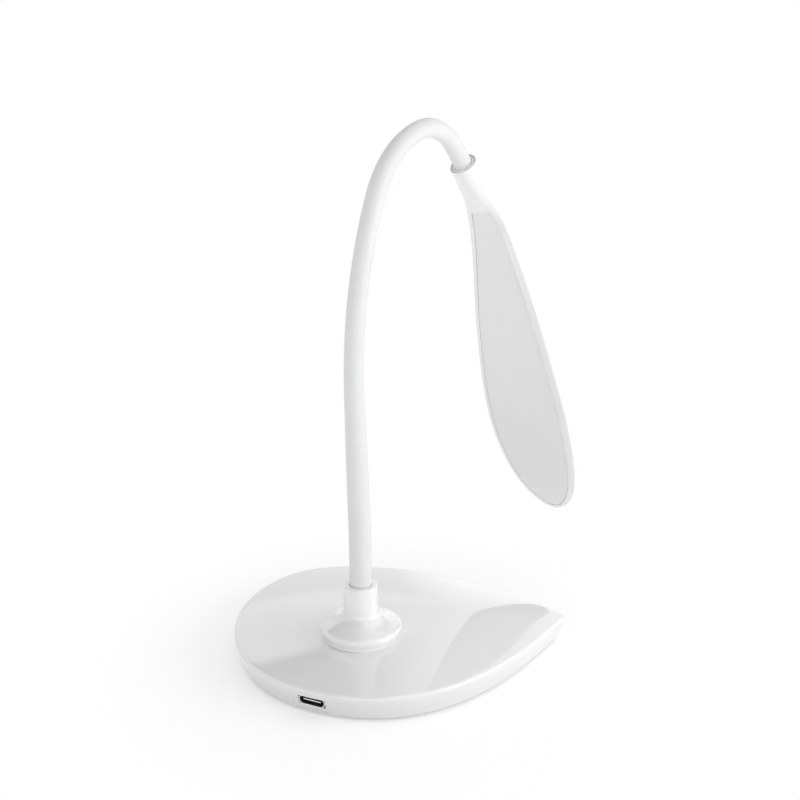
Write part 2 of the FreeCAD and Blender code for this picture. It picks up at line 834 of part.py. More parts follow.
def head_section(share, thinning=0.0, side_thinning=None):
    """The head's closed section at a share of its length, thinned inwards for the hollow."""
    point, across, rear = head_frame(share)
    width, bulge, depth, squareness = section_values(share)
    width -= thinning if side_thinning is None else side_thinning
    depth -= thinning
    rise, reach = squareness * depth, squareness * width
    back_poles = [
        (width, 0),
        (width, rise),
        (reach, depth),
        (0, depth),
        (-reach, depth),
        (-width, rise),
        (-width, 0),
    ]
    roundness = min(bulge / width, 1)
    out = width * (FLAT_POLE_SHARE + (1 - FLAT_POLE_SHARE) * roundness)
    sink = -4 / 3 * bulge
    front_poles = [(-width, 0), (-out, sink), (out, sink), (width, 0)]
    back, front = Part.BSplineCurve(), Part.BSplineCurve()
    back_points = [point + across * a + rear * b for a, b in back_poles]
    front_points = [point + across * a + rear * b for a, b in front_poles]
    back.buildFromPolesMultsKnots(back_points, [4, 3, 4], BACK_KNOT_SHARES, False, 3)
    front.buildFromPolesMultsKnots(front_points, [4, 4], [0, 1], False, 3)
    return Part.Wire([back.toShape(), front.toShape()])


def head_box_section(share, half_width, low, high):
    """A flat four-sided section between two depths behind the front centre line."""
    point, across, rear = head_frame(share)
    corners = [(-half_width, low), (half_width, low), (half_width, high), (-half_width, high)]
    return Part.makePolygon([point + across * a + rear * b for a, b in corners + corners[:1]])


# Sections of the head's hollow past its first one
HOLLOW_SHARES = [0.230, 0.370, 0.520, 0.665, 0.815, 0.890, 0.965]

OPENING_STEPS = 14
NOSE_LEAST_SHARE = 0.02
LEAST_STEP_SHARE = 0.0001


def opening_shares():
    """Places along the diffuser's opening, closer together towards its rounded end."""
    start = dim("diffuser_start") / dim("head_length")
    end = 1 - dim("head_bezel") / dim("head_length")
    turns = [math.radians(90) * i / OPENING_STEPS for i in range(OPENING_STEPS + 1)]
    return [start + (end - start) * math.sin(turn) for turn in turns]


def opening_half_width(share, inset):
    """Half width of the opening, an inset inside the head's outline."""
    width = section_values(share)[0] - inset
    left = (1 - share) * dim("head_length") - inset
    nose = dim("head_half_width")
    least = NOSE_LEAST_SHARE * nose
    if left < nose / 2:
        width = min(width, math.sqrt(max(left, least) * nose))
    return max(width, least)


def opening_solid(inset, low, high, end_inset=0.0, start_inset=0.0):
    start, *rest = opening_shares()
    shares = [start + start_inset / dim("head_length")] + rest
    sections = []
    for share in shares:
        share = min(share, 1 - (dim("head_bezel") + end_inset) / dim("head_length"))
        if sections and share <= last + LEAST_STEP_SHARE:
            break
        sections.append(head_box_section(share, opening_half_width(share, inset), low, high))
        last = share
    return Part.makeLoft(sections, True, False)


def socket_column(radius, start, end):
    """A round cutter or plug along the straight end of the neck, past the head's ring."""
    ring, heading = route_state(RING)
    way = route_direction(heading)
    return Part.makeCylinder(radius, end - start, ring + way * start, way)


def head_hollow(clearance):
    """The room inside the head's walls, drawn in by a clearance."""
    length = dim("head_length")
    first = (dim("diffuser_start") + dim("diffuser_ledge")) / length
    side = dim("head_bezel") + dim("diffuser_ledge") + clearance
    shares = [first] + HOLLOW_SHARES
    return Part.makeLoft([head_section(s, dim("head_wall") + clearance, side) for s in shares], True, False)


def head_rear_shell():
    outer = Part.makeLoft([head_section(s[0]) for s in HEAD_SECTION_SHARES], True, False)
    bore = socket_column(dim("socket_bore_radius"), -dim("overrun"), dim("socket_depth"))
    hole_radius = dim("lead_radius") + dim("lead_hole_clearance")
    lead_hole = rod(RING + dim("socket_depth") - dim("overrun"), ROUTE_END, hole_radius)
    seat_depth = dim("diffuser_sink") + dim("diffuser_thickness")
    seat = opening_solid(dim("head_bezel"), -dim("overrun"), seat_depth)
    return outer.cut([bore, lead_hole, head_hollow(0), seat])


def diffuser():
    clear = dim("diffuser_clearance")
    return opening_solid(
        dim("head_bezel") + clear,
        dim("diffuser_sink"),
        dim("diffuser_sink") + dim("diffuser_thickness") - clear,
        end_inset=clear,
        start_inset=clear,
    )


LED_ROWS = 11


def led_board_span():
    length = dim("head_length")
    return dim("led_board_start") / length, 1 - dim("led_board_end_gap") / length


def led_board():
    """A curved strip, trimmed so that it just clears the shell's inside."""
    start, end = led_board_span()
    shares = [start + (end - start) * i / LED_ROWS for i in range(LED_ROWS + 1)]
    near, far = dim("led_board_depth"), dim("led_board_depth") + dim("led_board_thickness")
    sections = [head_box_section(s, dim("head_half_width"), near, far) for s in shares]
    return Part.makeLoft(sections, True, False).common(head_hollow(dim("led_board_clearance")))


def led_chips():
    """One chip in the middle of each step of the board."""
    start, end = led_board_span()
    chips = []
    for i in range(LED_ROWS):
        point, across, rear = head_frame(start + (end - start) * (i + 0.5) / LED_ROWS)
        along = rear.cross(across)
        chip = Part.makeBox(dim("led_width"), dim("led_length"), dim("led_height"))
        corner = point - across * (dim("led_width") / 2) + rear * dim("led_board_depth")
        chip.Placement = Placement(corner, Rotation(across, along, -rear, "ZXY"))
        depth = dim("led_board_depth") - dim("led_height") / 2 - dim("solder_gap")
        chip.translate(point + rear * depth - chip.CenterOfMass)
        chips.append(chip)
    return Part.makeCompound(chips)


# Small pieces in the base


def screw_template(name):
    """A pan-head screw that stands on its head's underside, with its shank up the Z axis."""
    head_height = name + "_head_height"
    head = cylinder(name + "_head", name + "_head_radius", head_height, f"0 - {head_height}")
    shank = cylinder(name + "_shank", name + "_radius", name + "_length")
    whole = fuse(name + "_solid", [head, shank])
    drive = cylinder(name + "_drive", name + "_drive_radius", "screw_drive_depth", f"0 - {head_height}")
    return cut(name, whole, drive)


def copies(label, template, placements):
    """Identical solids in one sub-part."""
    doc.recompute()
    shapes = []
    for placement in placements:
        shape = template.Shape.copy()
        shape.Placement = placement.multiply(shape.Placement)
        shapes.append(shape)
    return solid_feature(label, Part.makeCompound(shapes))


# How deep the collar's flare is drawn in between its lip and its waist
FLARE_SHARE = 0.27


def neck_fixing():
    bore_top = "ferrule_top + ferrule_clearance"
    collar_corners = [
        ("collar_bore_radius", "collar_recess_height"),
        ("collar_foot_radius", "collar_recess_height"),
        ("collar_foot_radius", "collar_foot_height"),
        ("collar_lip_radius", "collar_lip_height"),
        ("collar_waist_radius", "collar_waist_height"),
        ("collar_rim_radius", "collar_rim_height - collar_rim_round"),
        ("collar_rim_radius - collar_rim_round", "collar_rim_height"),
        ("collar_mouth_radius", "collar_rim_height"),
        ("collar_mouth_radius", bore_top),
        ("collar_bore_radius", bore_top),
    ]
    flare = f"{FLARE_SHARE}"
    rim = f"{1 - math.sqrt(0.5)}"
    curves = {
        2: ("collar_flare_radius", "collar_flare_height"),
        3: (
            f"collar_waist_radius + (collar_lip_radius - collar_waist_radius) * {flare}",
            f"collar_lip_height + (collar_waist_height - collar_lip_height) * {flare}",
        ),
        5: (
            f"collar_rim_radius - collar_rim_round * {rim}",
            f"collar_rim_height - collar_rim_round * {rim}",
        ),
    }
    piece(revolved_body("neck_collar", collar_corners, curves), "neck_collar")
    ferrule_corners = [
        ("core_radius + core_fit", "ferrule_bottom"),
        ("ferrule_radius", "ferrule_bottom"),
        ("ferrule_radius", "ferrule_top"),
        ("core_radius + core_fit", "ferrule_top"),
    ]
    piece(revolved_body("neck_lower_ferrule", ferrule_corners), "neck_lower_ferrule")
    washer_corners = [
        ("ferrule_radius + ferrule_clearance", "neck_seat_height - washer_thickness"),
        ("washer_radius", "neck_seat_height - washer_thickness"),
        ("washer_radius", "neck_seat_height"),
        ("ferrule_radius + ferrule_clearance", "neck_seat_height"),
    ]
    piece(revolved_body("neck_washer", washer_corners), "neck_washer")
    hexagon = doc.addObject("Part::Prism", "nut_hexagon")
    hexagon.Polygon = 6
    bottom = "neck_seat_height - washer_thickness - nut_thickness"
    bind(hexagon, Circumradius="nut_flats / 2 / cos(30 deg)", Height="nut_thickness")
    bind(hexagon, Placement__Base__z=bottom)
    bore = cylinder("nut_bore", "ferrule_radius + screw_hole_clearance", "nut_thickness", bottom)
    piece(cut("neck_nut", hexagon, bore), "neck_nut")
    entry = dim("sleeve_entry")
    upper = socket_column(dim("upper_ferrule_radius"), entry, entry + dim("upper_ferrule_length"))
    upper_bore = socket_column(dim("core_radius") + dim("core_fit"), 0, dim("socket_depth"))
    solid_feature("neck_upper_ferrule", upper.cut(upper_bore))


def slot_sketch(body, name, half_width, half_height):
    """A slot with full round ends, drawn from formulas of its half sizes."""
    straight = f"({half_width} - {half_height})"
    corners = [
        (f"0 - {straight}", f"0 - {half_height}"),
        (straight, f"0 - {half_height}"),
        (straight, half_height),
        (f"0 - {straight}", half_height),
    ]
    ends = {1: (half_width, "0"), 3: (f"0 - {half_width}", "0")}
    sketch = outline_sketch(body, "XY_Plane", name, corners, ends)
    pin(sketch, "DistanceX", 1, 3, straight)
    pin(sketch, "DistanceX", 3, 3, f"0 - {straight}")
    return sketch


def charging_socket():
    shell = doc.addObject("PartDesign::Body", "usb_c_shell")
    outside = slot_sketch(shell, "shell_outline", "(port_shell_width / 2)", "(port_shell_height / 2)")
    pad = shell.newObject("PartDesign::Pad", "shell_pad")
    pad.Profile = outside
    pad.Reversed = True
    bind(pad, Length="port_shell_length")
    inner_width = "(port_shell_width / 2 - port_shell_wall)"
    inner_height = "(port_shell_height / 2 - port_shell_wall)"
    inside = slot_sketch(shell, "shell_mouth", inner_width, inner_height)
    pocket = shell.newObject("PartDesign::Pocket", "shell_pocket")
    pocket.Profile = inside
    bind(pocket, Length="port_shell_length - port_shell_floor")
    piece(shell, "usb_c_shell", PORT)
    clear = "port_carrier_clearance"
    width = f"port_shell_width - 2 * port_shell_wall - port_shell_height + 2 * {clear}"
    height = f"port_shell_height - 2 * port_shell_wall - 2 * {clear}"
    back = f"port_shell_floor + {clear} - port_shell_length"
    corner = (f"0 - ({width}) / 2", f"0 - ({height}) / 2", back)
    carrier = box("carrier", width, height, "port_carrier_length", corner)
    tongue = box(
        "tongue",
        "port_tongue_width",
        "port_tongue_thickness",
        "port_carrier_length + port_tongue_length",
        ("0 - port_tongue_width / 2", "0 - port_tongue_thickness / 2", back),
    )
    piece(fuse("usb_c_tongue", [carrier, tongue]), "usb_c_tongue", PORT)


CHIP_SHARES = {
    # across the board, into the board, length, width, as shares of the board's width and length
    "charge_chip": (-0.22, 0.62, 0.12, 0.17),
    "touch_chip": (0.06, 0.55, 0.14, 0.20),
    "driver_chip": (-0.36, 0.30, 0.10, 0.14),
    "choke": (-0.06, 0.80, 0.13, 0.16),
    "capacitor": (0.24, 0.30, 0.06, 0.14),
}


def main_board():
    middle = ("0 - board_width / 2", "0", "0")
    board = box("board_blank", "board_width", "board_length", "board_thickness", middle)
    notch_width = "port_shell_width + 2 * port_clearance"
    notch_length = "port_shell_length + port_recess - case_wall - board_wall_gap + port_clearance"
    notch = box(
        "board_notch",
        notch_width,
        f"{notch_length} + overrun",
        "board_thickness + 2 * overrun",
        (f"0 - ({notch_width}) / 2", "0 - overrun", "0 - overrun"),
    )
    holes = []
    hole_radius, hole_length = "board_screw_radius + screw_pass_clearance", "board_thickness + 2 * overrun"
    for number, place in enumerate(board_screw_places()):
        hole = cylinder(f"board_hole_{number}", hole_radius, hole_length)
        side = "board_width / 2 - board_screw_edge"
        bind(hole, Placement__Base__x=side if place.x > 0 else f"0 - ({side})")
        bind(hole, Placement__Base__y="board_length - board_screw_edge", Placement__Base__z="0 - overrun")
        holes.append(hole)
    cutters = fuse("board_cutters", [notch] + holes)
    blank = cut("board_cut", board, cutters)
    blank.Placement = BOARD
    room = doc.addObject("Part::Feature", "board_room")
    inset = dim("seam_step") + dim("case_wall") + dim("board_edge_gap")
    room.Shape = leaf_solid(inset, dim("case_lift"), dim("edge_height"))
    routed = doc.addObject("Part::Common", "main_board")
    routed.Base = blank
    routed.Tool = room
    piece(routed, "main_board")
    chips = []
    for name, (x, y, length, width) in CHIP_SHARES.items():
        chip = Part.makeBox(length * dim("board_width"), width * dim("board_length"), dim("chip_height"))
        corner = Vector((x - length / 2) * dim("board_width"), (y - width / 2) * dim("board_length"), 0)
        corner.z = dim("board_thickness")
        chip.Placement = BOARD.multiply(Placement(corner, Rotation()))
        chips.append(chip)
    solid_feature("board_chips", Part.makeCompound(chips))
    screw = screw_template("board_screw")
    top = Vector(0, 0, dim("board_thickness"))
    turned = Rotation(Vector(1, 0, 0), 180)
    copies("board_screws", screw, [BOARD.multiply(Placement(p + top, turned)) for p in board_screw_places()])
    solid_feature("touch_spring", touch_spring())


TOUCH_SPRING_SHARES = (0.30, 0.62)


def touch_spring():
    """The bent strip that carries the touch signal from the board to the cover's underside."""
    shares = TOUCH_SPRING_SHARES
    across, inwards = shares[0] * dim("board_width"), shares[1] * dim("board_length")
    foot = BOARD.multVec(Vector(across, inwards, dim("board_thickness")))
    long, thick = dim("touch_spring_length"), dim("touch_spring_thickness")
    top = crown_height(foot.x, foot.y) - dim("cover_roof") - dim("touch_spring_gap") - foot.z
    slant = math.hypot(long, top - 2 * thick) / (top - 2 * thick) * thick
    half = long / 2
    corners = [
        (-half, 0),
        (half, 0),
        (half, thick),
        (slant - half, top - thick),
        (half, top - thick),
        (half, top),
        (-half, top),
        (-half, top - thick),
        (half - slant, thick),
        (-half, thick),
    ]
    outline = Part.makePolygon([Vector(x, 0, z) for x, z in corners + corners[:1]])
    strip = Part.Face(outline).extrude(Vector(0, dim("touch_spring_width"), 0))
    strip.Placement = Placement(foot, BOARD.Rotation)
    return strip


def rounded_plate(name, length, width, height, rounding, corner):
    """A flat plate with rounded upright corners."""
    blank = box(name + "_blank", length, width, height, corner)
    doc.recompute()
    plate = doc.addObject("Part::Fillet", name)
    plate.Base = blank
    numbers = [i for i, e in enumerate(blank.Shape.Edges, start=1) if upright_edges(e)]
    plate.Edges = [(i, dim(rounding), dim(rounding)) for i in numbers]
    return plate


def weight_and_cell():
    floor = "case_lift + case_floor"
    stack = {
        "counterweight_plate": ("weight_length", "weight_width", "weight_thickness", "weight_round", floor),
        "cell_tape": (
            "cell_length - 2 * tape_inset",
            "cell_width - 2 * tape_inset",
            "tape_thickness",
            "cell_round",
            f"{floor} + weight_thickness",
        ),
        "battery_cell": (
            "cell_length",
            "cell_width",
            "cell_thickness",
            "cell_round",
            f"{floor} + weight_thickness + tape_thickness",
        ),
    }
    for name, (length, width, height, rounding, bottom) in stack.items():
        corner = (f"cell_side - ({length}) / 2", f"cell_back - ({width}) / 2", bottom)
        piece(rounded_plate(name, length, width, height, rounding, corner), name)


def build():
    solid_feature("base_top_cover", base_top_cover())
    solid_feature("base_bottom_case", base_bottom_case())
    solid_feature("anti_slip_pad", leaf_solid(dim("pad_inset"), 0, dim("pad_thickness"), drafted=False))
    seats = [Vector(p.x, p.y, screw_seat()) for p in screw_places()]
    copies("case_screws", screw_template("case_screw"), [Placement(seat, Rotation()) for seat in seats])
    neck_fixing()
    neck_core_sections()
    solid_feature("neck_sleeve", neck_sleeve())
    solid_feature("neck_lead", neck_lead())
    charging_socket()
    main_board()
    weight_and_cell()
    solid_feature("head_rear_shell", head_rear_shell())
    solid_feature("diffuser", diffuser())
    solid_feature("led_board", led_board())
    solid_feature("led_chips", led_chips())


def check_and_export():
    doc.recompute()
    for item in doc.Objects:
        if "Invalid" in item.State or "Error" in item.State:
            raise RuntimeError(f"{item.Label} failed: {item.State}")
    for label, item in PIECES.items():
        shape = item.Shape
        if shape.isNull() or not shape.isValid() or not shape.Solids:
            raise RuntimeError(f"{label} has no valid solid")
    for label, item in PIECES.items():
        item.Shape.exportStep(os.path.join("parts", label + ".step"))
        print(f"{label}: {len(item.Shape.Solids)} solids, {item.Shape.Volume:.1f} mm3")
    for number, distance in enumerate(bend_distances(), start=1):
        point, heading = route_state(distance)
        print(f"bend {number}: {point.x:.3f} {point.y:.3f} {point.z:.3f} heading {heading:.2f}")
    ring, heading = route_state(RING)
    print(f"ring: {ring.x:.3f} {ring.y:.3f} {ring.z:.3f} heading {heading:.2f}")
    mouth, way = PORT.Base, PORT.Rotation.multVec(Vector(0, 0, 1))
    print(f"port: {mouth.x:.3f} {mouth.y:.3f} {mouth.z:.3f} axis {way.x:.6f} {way.y:.6f} {way.z:.6f}")


build()
check_and_export()
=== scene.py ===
import json
import math
import bmesh
import bpy
import numpy as np
from bpy.props import FloatProperty, FloatVectorProperty, PointerProperty
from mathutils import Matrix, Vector


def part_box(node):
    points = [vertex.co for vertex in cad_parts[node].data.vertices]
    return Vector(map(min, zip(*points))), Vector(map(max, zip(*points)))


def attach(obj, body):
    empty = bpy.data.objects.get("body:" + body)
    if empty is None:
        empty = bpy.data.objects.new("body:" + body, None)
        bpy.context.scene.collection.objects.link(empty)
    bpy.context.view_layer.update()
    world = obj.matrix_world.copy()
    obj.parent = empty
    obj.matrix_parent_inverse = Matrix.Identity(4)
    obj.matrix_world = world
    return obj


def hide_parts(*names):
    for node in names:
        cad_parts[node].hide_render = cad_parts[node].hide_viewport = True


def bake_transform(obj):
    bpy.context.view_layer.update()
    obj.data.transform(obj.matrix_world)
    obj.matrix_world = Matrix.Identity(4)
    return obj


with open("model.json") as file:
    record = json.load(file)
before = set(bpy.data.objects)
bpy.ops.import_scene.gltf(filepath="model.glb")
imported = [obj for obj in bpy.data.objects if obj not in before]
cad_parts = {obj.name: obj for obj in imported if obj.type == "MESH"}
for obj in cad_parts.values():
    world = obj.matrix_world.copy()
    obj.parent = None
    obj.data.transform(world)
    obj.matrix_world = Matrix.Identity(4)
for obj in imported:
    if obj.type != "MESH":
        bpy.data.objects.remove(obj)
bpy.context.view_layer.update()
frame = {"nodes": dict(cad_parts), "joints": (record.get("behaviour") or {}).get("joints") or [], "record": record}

bl_info = {
    "name": "Leaf Desk Lamp",
    "version": (1, 0, 0),
    "blender": (4, 5, 0),
    "location": "View3D > Sidebar > Leaf Lamp",
    "description": "Dresses the frame of a cordless desk lamp with a leaf-shaped base and head",
    "category": "Add Mesh",
}

MM = 0.001

# Places on the base's edge from its tip round the front, the left end and the back, as shares of
# the leaf's length and width, counted from the neck's axis
TIP_SHARES = (0.630, 0.143)
LEAF_EDGE_SHARES = [
    (0.479, -0.071),
    (0.305, -0.257),
    (0.089, -0.358),
    (-0.139, -0.303),
    (-0.310, -0.117),
    (-0.370, 0.149),
    (-0.321, 0.420),
    (-0.161, 0.616),
    (0.070, 0.623),
    (0.286, 0.518),
    (0.475, 0.352),
]
CROWN_CENTER_SHARES = (0.130, 0.141)

# Places on the head's front centre line past its ring, along and aside, as shares of its length
HEAD_LINE_SHARES = [
    (0.152, -0.0175),
    (0.357, -0.090),
    (0.563, -0.170),
    (0.774, -0.233),
    (0.9615, -0.2675),
]

# Sections of the head: place along it, then half width, front bulge, depth and squareness as
# shares of the head's half width, socket radius and depth
HEAD_SECTION_SHARES = [
    (0.000, 0.282, 1.000, 0.535, 0.55),
    (0.050, 0.292, 0.930, 0.570, 0.58),
    (0.100, 0.340, 0.600, 0.730, 0.65),
    (0.155, 0.415, 0.110, 0.940, 0.76),
    (0.230, 0.525, 0.065, 0.990, 0.82),
    (0.370, 0.735, 0.065, 1.010, 0.85),
    (0.520, 0.900, 0.065, 0.990, 0.86),
    (0.665, 1.000, 0.065, 0.940, 0.86),
    (0.740, 0.988, 0.065, 0.890, 0.85),
    (0.815, 0.920, 0.065, 0.805, 0.83),
    (0.890, 0.790, 0.060, 0.680, 0.82),
    (0.945, 0.600, 0.050, 0.560, 0.79),
    (0.978, 0.390, 0.040, 0.460, 0.76),
    (0.994, 0.205, 0.030, 0.380, 0.72),
    (1.000, 0.000, 0.020, 0.320, 0.69),
]


def length_prop(name, description, default_mm):
    """A size that the panel shows as a length, written here in millimetres."""
    size = default_mm * MM
    return FloatProperty(name=name, description=description, default=size, unit="LENGTH", precision=5)


def angle_prop(name, description, degrees):
    return FloatProperty(name=name, description=description, default=math.radians(degrees), subtype="ANGLE")


def color_prop(name, description, rgb):
    kind = {"size": 3, "min": 0.0, "max": 1.0, "subtype": "COLOR"}
    return FloatVectorProperty(name=name, description=description, default=rgb, **kind)


def place_prop(name, description, place_mm):
    kind = {"size": 3, "subtype": "TRANSLATION"}
    place = tuple(x * MM for x in place_mm)
    return FloatVectorProperty(name=name, description=description, default=place, **kind)


def power_prop(name, description, watts):
    return FloatProperty(name=name, description=description, default=watts, unit="POWER")


def level_prop(name, description, level):
    return FloatProperty(name=name, description=description, default=level)


class LeafLampBaseSettings(bpy.types.PropertyGroup):
    leaf_length: length_prop("Leaf length", "From the tip to the round end", 115.6)
    leaf_width: length_prop("Leaf width", "Across the widest part", 97.2)
    tip_radius: length_prop("Tip radius", "Rounding of the leaf's tip seen from above", 1.6)
    edge_height: length_prop("Edge height", "Height of the cover's edge over the table", 9.0)
    crown_rise: length_prop("Crown rise", "How far the cover domes over its edge", 4.8)
    seam_height: length_prop("Seam height", "Where the cover meets the lower case", 6.3)
    edge_round: length_prop("Edge rounding", "Rounding between the dome and the wall", 1.1)
    wall_draft: angle_prop("Wall draft", "How far the wall leans in towards the table", 14.5)
    crown_smoothing: angle_prop("Crown smoothing", "How far the dome looks round for its edge", 9.0)
    cover_wall: length_prop("Cover wall", "Thickness of the cover's wall", 1.3)
    cover_roof: length_prop("Cover roof", "Thickness of the cover's dome", 1.8)
    seam_round: length_prop("Seam rounding", "Rounding of the cover's lower edge", 0.25)
    collar_rim_height: length_prop("Collar rim height", "Top of the collar over the table", 30.0)
    collar_rim_radius: length_prop("Collar rim radius", "Outer radius of the rim", 5.45)
    collar_waist_radius: length_prop("Collar waist radius", "Where the flare starts", 5.7)
    collar_waist_height: length_prop("Collar waist height", "Where the flare starts", 21.4)
    collar_flare_radius: length_prop("Collar flare radius", "Outer radius of the flare", 13.35)
    collar_flare_height: length_prop("Collar flare height", "Where the flare is widest", 15.25)
    collar_lip_height: length_prop("Collar lip height", "Upper side of the flare's lip", 16.7)
    collar_foot_radius: length_prop("Collar foot radius", "Where the collar meets the cover", 12.7)
    collar_foot_height: length_prop("Collar foot height", "Underside of the lip", 12.9)
    collar_bottom: length_prop("Collar bottom", "Where the collar seats in the cover", 12.2)
    collar_mouth_radius: length_prop("Collar mouth radius", "Opening for the sleeve", 3.66)
    collar_lip: length_prop("Collar lip", "Width of the flare's rounded lip", 1.25)
    collar_lip_slope: angle_prop("Collar lip slope", "Fall of the flare where its lip starts", 16.0)
    port_azimuth: angle_prop("Socket azimuth", "Which way the charging socket faces", 241.0)
    socket_width: length_prop("Socket width", "Width of the charging socket's shell", 8.94)
    # The dark cup inside the socket's shell is painted shade that stands for the shade deep in the socket; these
    # set its size
    painted_shade_width: length_prop("Lining width", "Width of the dark lining inside the shell", 8.32)
    painted_shade_height: length_prop("Lining height", "Height of the dark lining", 2.64)
    painted_shade_wall: length_prop("Lining wall", "Thickness of the lining", 0.05)
    painted_shade_start: length_prop("Lining start", "Bright lip of the shell before the lining", 0.12)
    painted_shade_depth: length_prop("Lining depth", "How deep the lining goes", 5.6)
    tongue_width: length_prop("Tongue width", "Width of the socket's tongue", 6.69)
    contact_width: length_prop("Contact width", "Bright edge across the socket's tongue", 6.1)
    contact_thickness: length_prop("Contact thickness", "Thickness of that edge", 0.30)
    contact_length: length_prop("Contact length", "How far the contacts reach back on the tongue", 1.0)
    contact_lead: length_prop("Contact lead", "How far the edge stands before the tongue", 0.85)
    collar_rim_round: length_prop("Collar rim rounding", "Rounding of the rim", 0.5)


class LeafLampNeckSettings(bpy.types.PropertyGroup):
    arch_azimuth: angle_prop("Arch azimuth", "Direction of the upright plane in which the neck bends", 45.0)
    start_height: length_prop("Start height", "Where the neck's route starts over the table", 9.0)
    rise: length_prop("Rise", "First straight stretch", 24.4)
    lean_radius: length_prop("Lean radius", "Slight backward lean", 550.0)
    lean_turn: angle_prop("Lean turn", "Angle of the backward lean", 2.5)
    lean_run: length_prop("Lean run", "Straight stretch after the lean", 35.3)
    shoulder_radius: length_prop("Shoulder radius", "Wide bend below the arch", 143.7)
    shoulder_turn: angle_prop("Shoulder turn", "Angle of the wide bend", 24.7)
    arch_radius: length_prop("Arch radius", "Bend over the top", 32.8)
    arch_turn: angle_prop("Arch turn", "Angle of the bend over the top", 50.5)
    crook_radius: length_prop("Crook radius", "Tight bend above the head", 17.3)
    crook_turn: angle_prop("Crook turn", "Angle of the tight bend", 65.7)
    end_run: length_prop("End run", "Straight stretch to the head's ring", 7.3)
    socket_entry: length_prop("Socket entry", "How far the sleeve goes into the head", 5.0)
    radius_bottom: length_prop("Sleeve radius, bottom", "Outer radius at the collar", 3.6)
    radius_top: length_prop("Sleeve radius, top", "Outer radius at the head", 3.03)
    taper_start: length_prop("Taper start", "Along the route, where the sleeve starts to get slimmer", 45.0)
    taper_end: length_prop("Taper end", "Along the route, where the sleeve has its upper radius", 100.0)
    lead_radius: length_prop("Lead radius", "Radius of the two-core lead", 0.9)
    lead_height: length_prop("Lead height", "Over the table, where the lead leaves the board", 5.5)
    lead_reach: length_prop("Lead reach", "From the neck's axis to the board", 7.2)
    lead_turn_radius: length_prop("Lead turn radius", "Bend of the lead below the neck", 3.0)
    lead_run: length_prop("Lead run", "Straight stretch past the sleeve's end", 9.0)
    lead_exit_radius: length_prop("Lead exit radius", "Bend of the lead into the head", 25.0)
    lead_exit_turn: angle_prop("Lead exit turn", "Angle of that bend", 8.0)
    lead_tail: length_prop("Lead tail", "Last stretch to the light board", 8.6)
    steady_end: length_prop("Steady end", "Stretch before the head that moves with it", 1.0)
    bore_radius: length_prop("Sleeve bore", "Inner radius of the sleeve", 2.35)


class LeafLampHeadSettings(bpy.types.PropertyGroup):
    head_length: length_prop("Head length", "Along its curved front, from the ring to the tip", 156.3)
    half_width: length_prop("Half width", "Half of the head's greatest width", 16.3)
    depth: length_prop("Depth", "Greatest depth of the rear shell", 8.6)
    roll: angle_prop("Roll", "Turn of the head about its own length", 10.0)
    socket_radius: length_prop("Socket radius", "Outer radius of the ring", 4.6)
    socket_bore: length_prop("Socket bore", "Inner radius of the ring", 3.9)
    bezel: length_prop("Bezel", "White rim round the diffuser", 1.5)
    bezel_far: length_prop("Far bezel", "White rim on the side turned from the base", 2.9)
    diffuser_start: length_prop("Diffuser start", "From the ring to the diffuser's straight edge", 19.5)
    diffuser_sink: length_prop("Diffuser sink", "How far the diffuser lies below the bezel", 0.08)
    diffuser_thickness: length_prop("Diffuser thickness", "Thickness of the opal panel", 1.4)
    diffuser_clearance: length_prop("Diffuser clearance", "Joint round the diffuser", 0.08)
    socket_depth: length_prop("Socket depth", "How deep the ring's bore goes", 16.0)
    socket_round: length_prop("Socket rounding", "Rounding of the ring's edges", 0.12)
    groove_depth: length_prop("Groove depth", "Groove between the ring's rim and the sleeve's seat", 0.9)
    sleeve_seat: length_prop("Sleeve seat", "Radius of the seat that hugs the sleeve", 3.07)
    rim_wall: length_prop("Rim wall", "Thickness of the ring's rim", 0.22)
    edge_round: length_prop("Edge rounding", "Rounding between the front and the back", 0.55)


class LeafLampFinishSettings(bpy.types.PropertyGroup):
    shell_white: color_prop("Shell white", "Glossy moulded shells", (0.86, 0.86, 0.862))
    case_white: color_prop("Case white", "Satin lower case", (0.85, 0.85, 0.853))
    sleeve_white: color_prop("Sleeve white", "Silicone sleeve of the neck", (0.755, 0.757, 0.762))
    diffuser_grey: color_prop("Diffuser grey", "Opal panel of the head", (0.82, 0.822, 0.825))
    pad_grey: color_prop("Pad grey", "Anti-slip pad", (0.42, 0.43, 0.44))


class LeafLampStageSettings(bpy.types.PropertyGroup):
    camera_place: place_prop("Camera place", "Where the camera stands", (-13.4, -298.8, 168.8))
    camera_pitch: angle_prop("Camera pitch", "How far the camera looks down", 14.5)
    camera_turn: angle_prop("Camera turn", "How far the camera turns to its right", 5.0)
    camera_lens: level_prop("Lens", "Focal length in millimetres", 45.0)
    stage_size: length_prop("Stage size", "Side of the floor", 6000.0)
    center: place_prop("Stage center", "Middle of the base on the floor", (14.0, 13.0, 0.0))
    key_power: power_prop("Key power", "Softbox on the right", 1.6)
    top_power: power_prop("Top power", "Softbox overhead", 0.4)
    fill_power: power_prop("Fill power", "Weak softbox in front", 2.1)
    wall_glow: level_prop("Wall glow", "Brightness of the mirrored wall", 1.2)
    world_level: level_prop("World level", "Light from all round", 0.65)
    floor_glow: level_prop("Floor glow", "Own brightness of the floor", 0.34)
    fade_start: length_prop("Fade start", "From the stage's center to where the floor pales", 50.0)
    fade_end: length_prop("Fade end", "From the stage's center to where the floor is white", 110.0)


SETTINGS = {
    "leaf_lamp_base": LeafLampBaseSettings,
    "leaf_lamp_neck": LeafLampNeckSettings,
    "leaf_lamp_head": LeafLampHeadSettings,
    "leaf_lamp_finish": LeafLampFinishSettings,
    "leaf_lamp_stage": LeafLampStageSettings,
}


# Mesh helpers


# Edges that turn by more than this stay sharp
SHARP_TURN = math.radians(40)
TUBE_SHARP_TURN = math.radians(50)
HEAD_SHARP_TURN = math.radians(38)


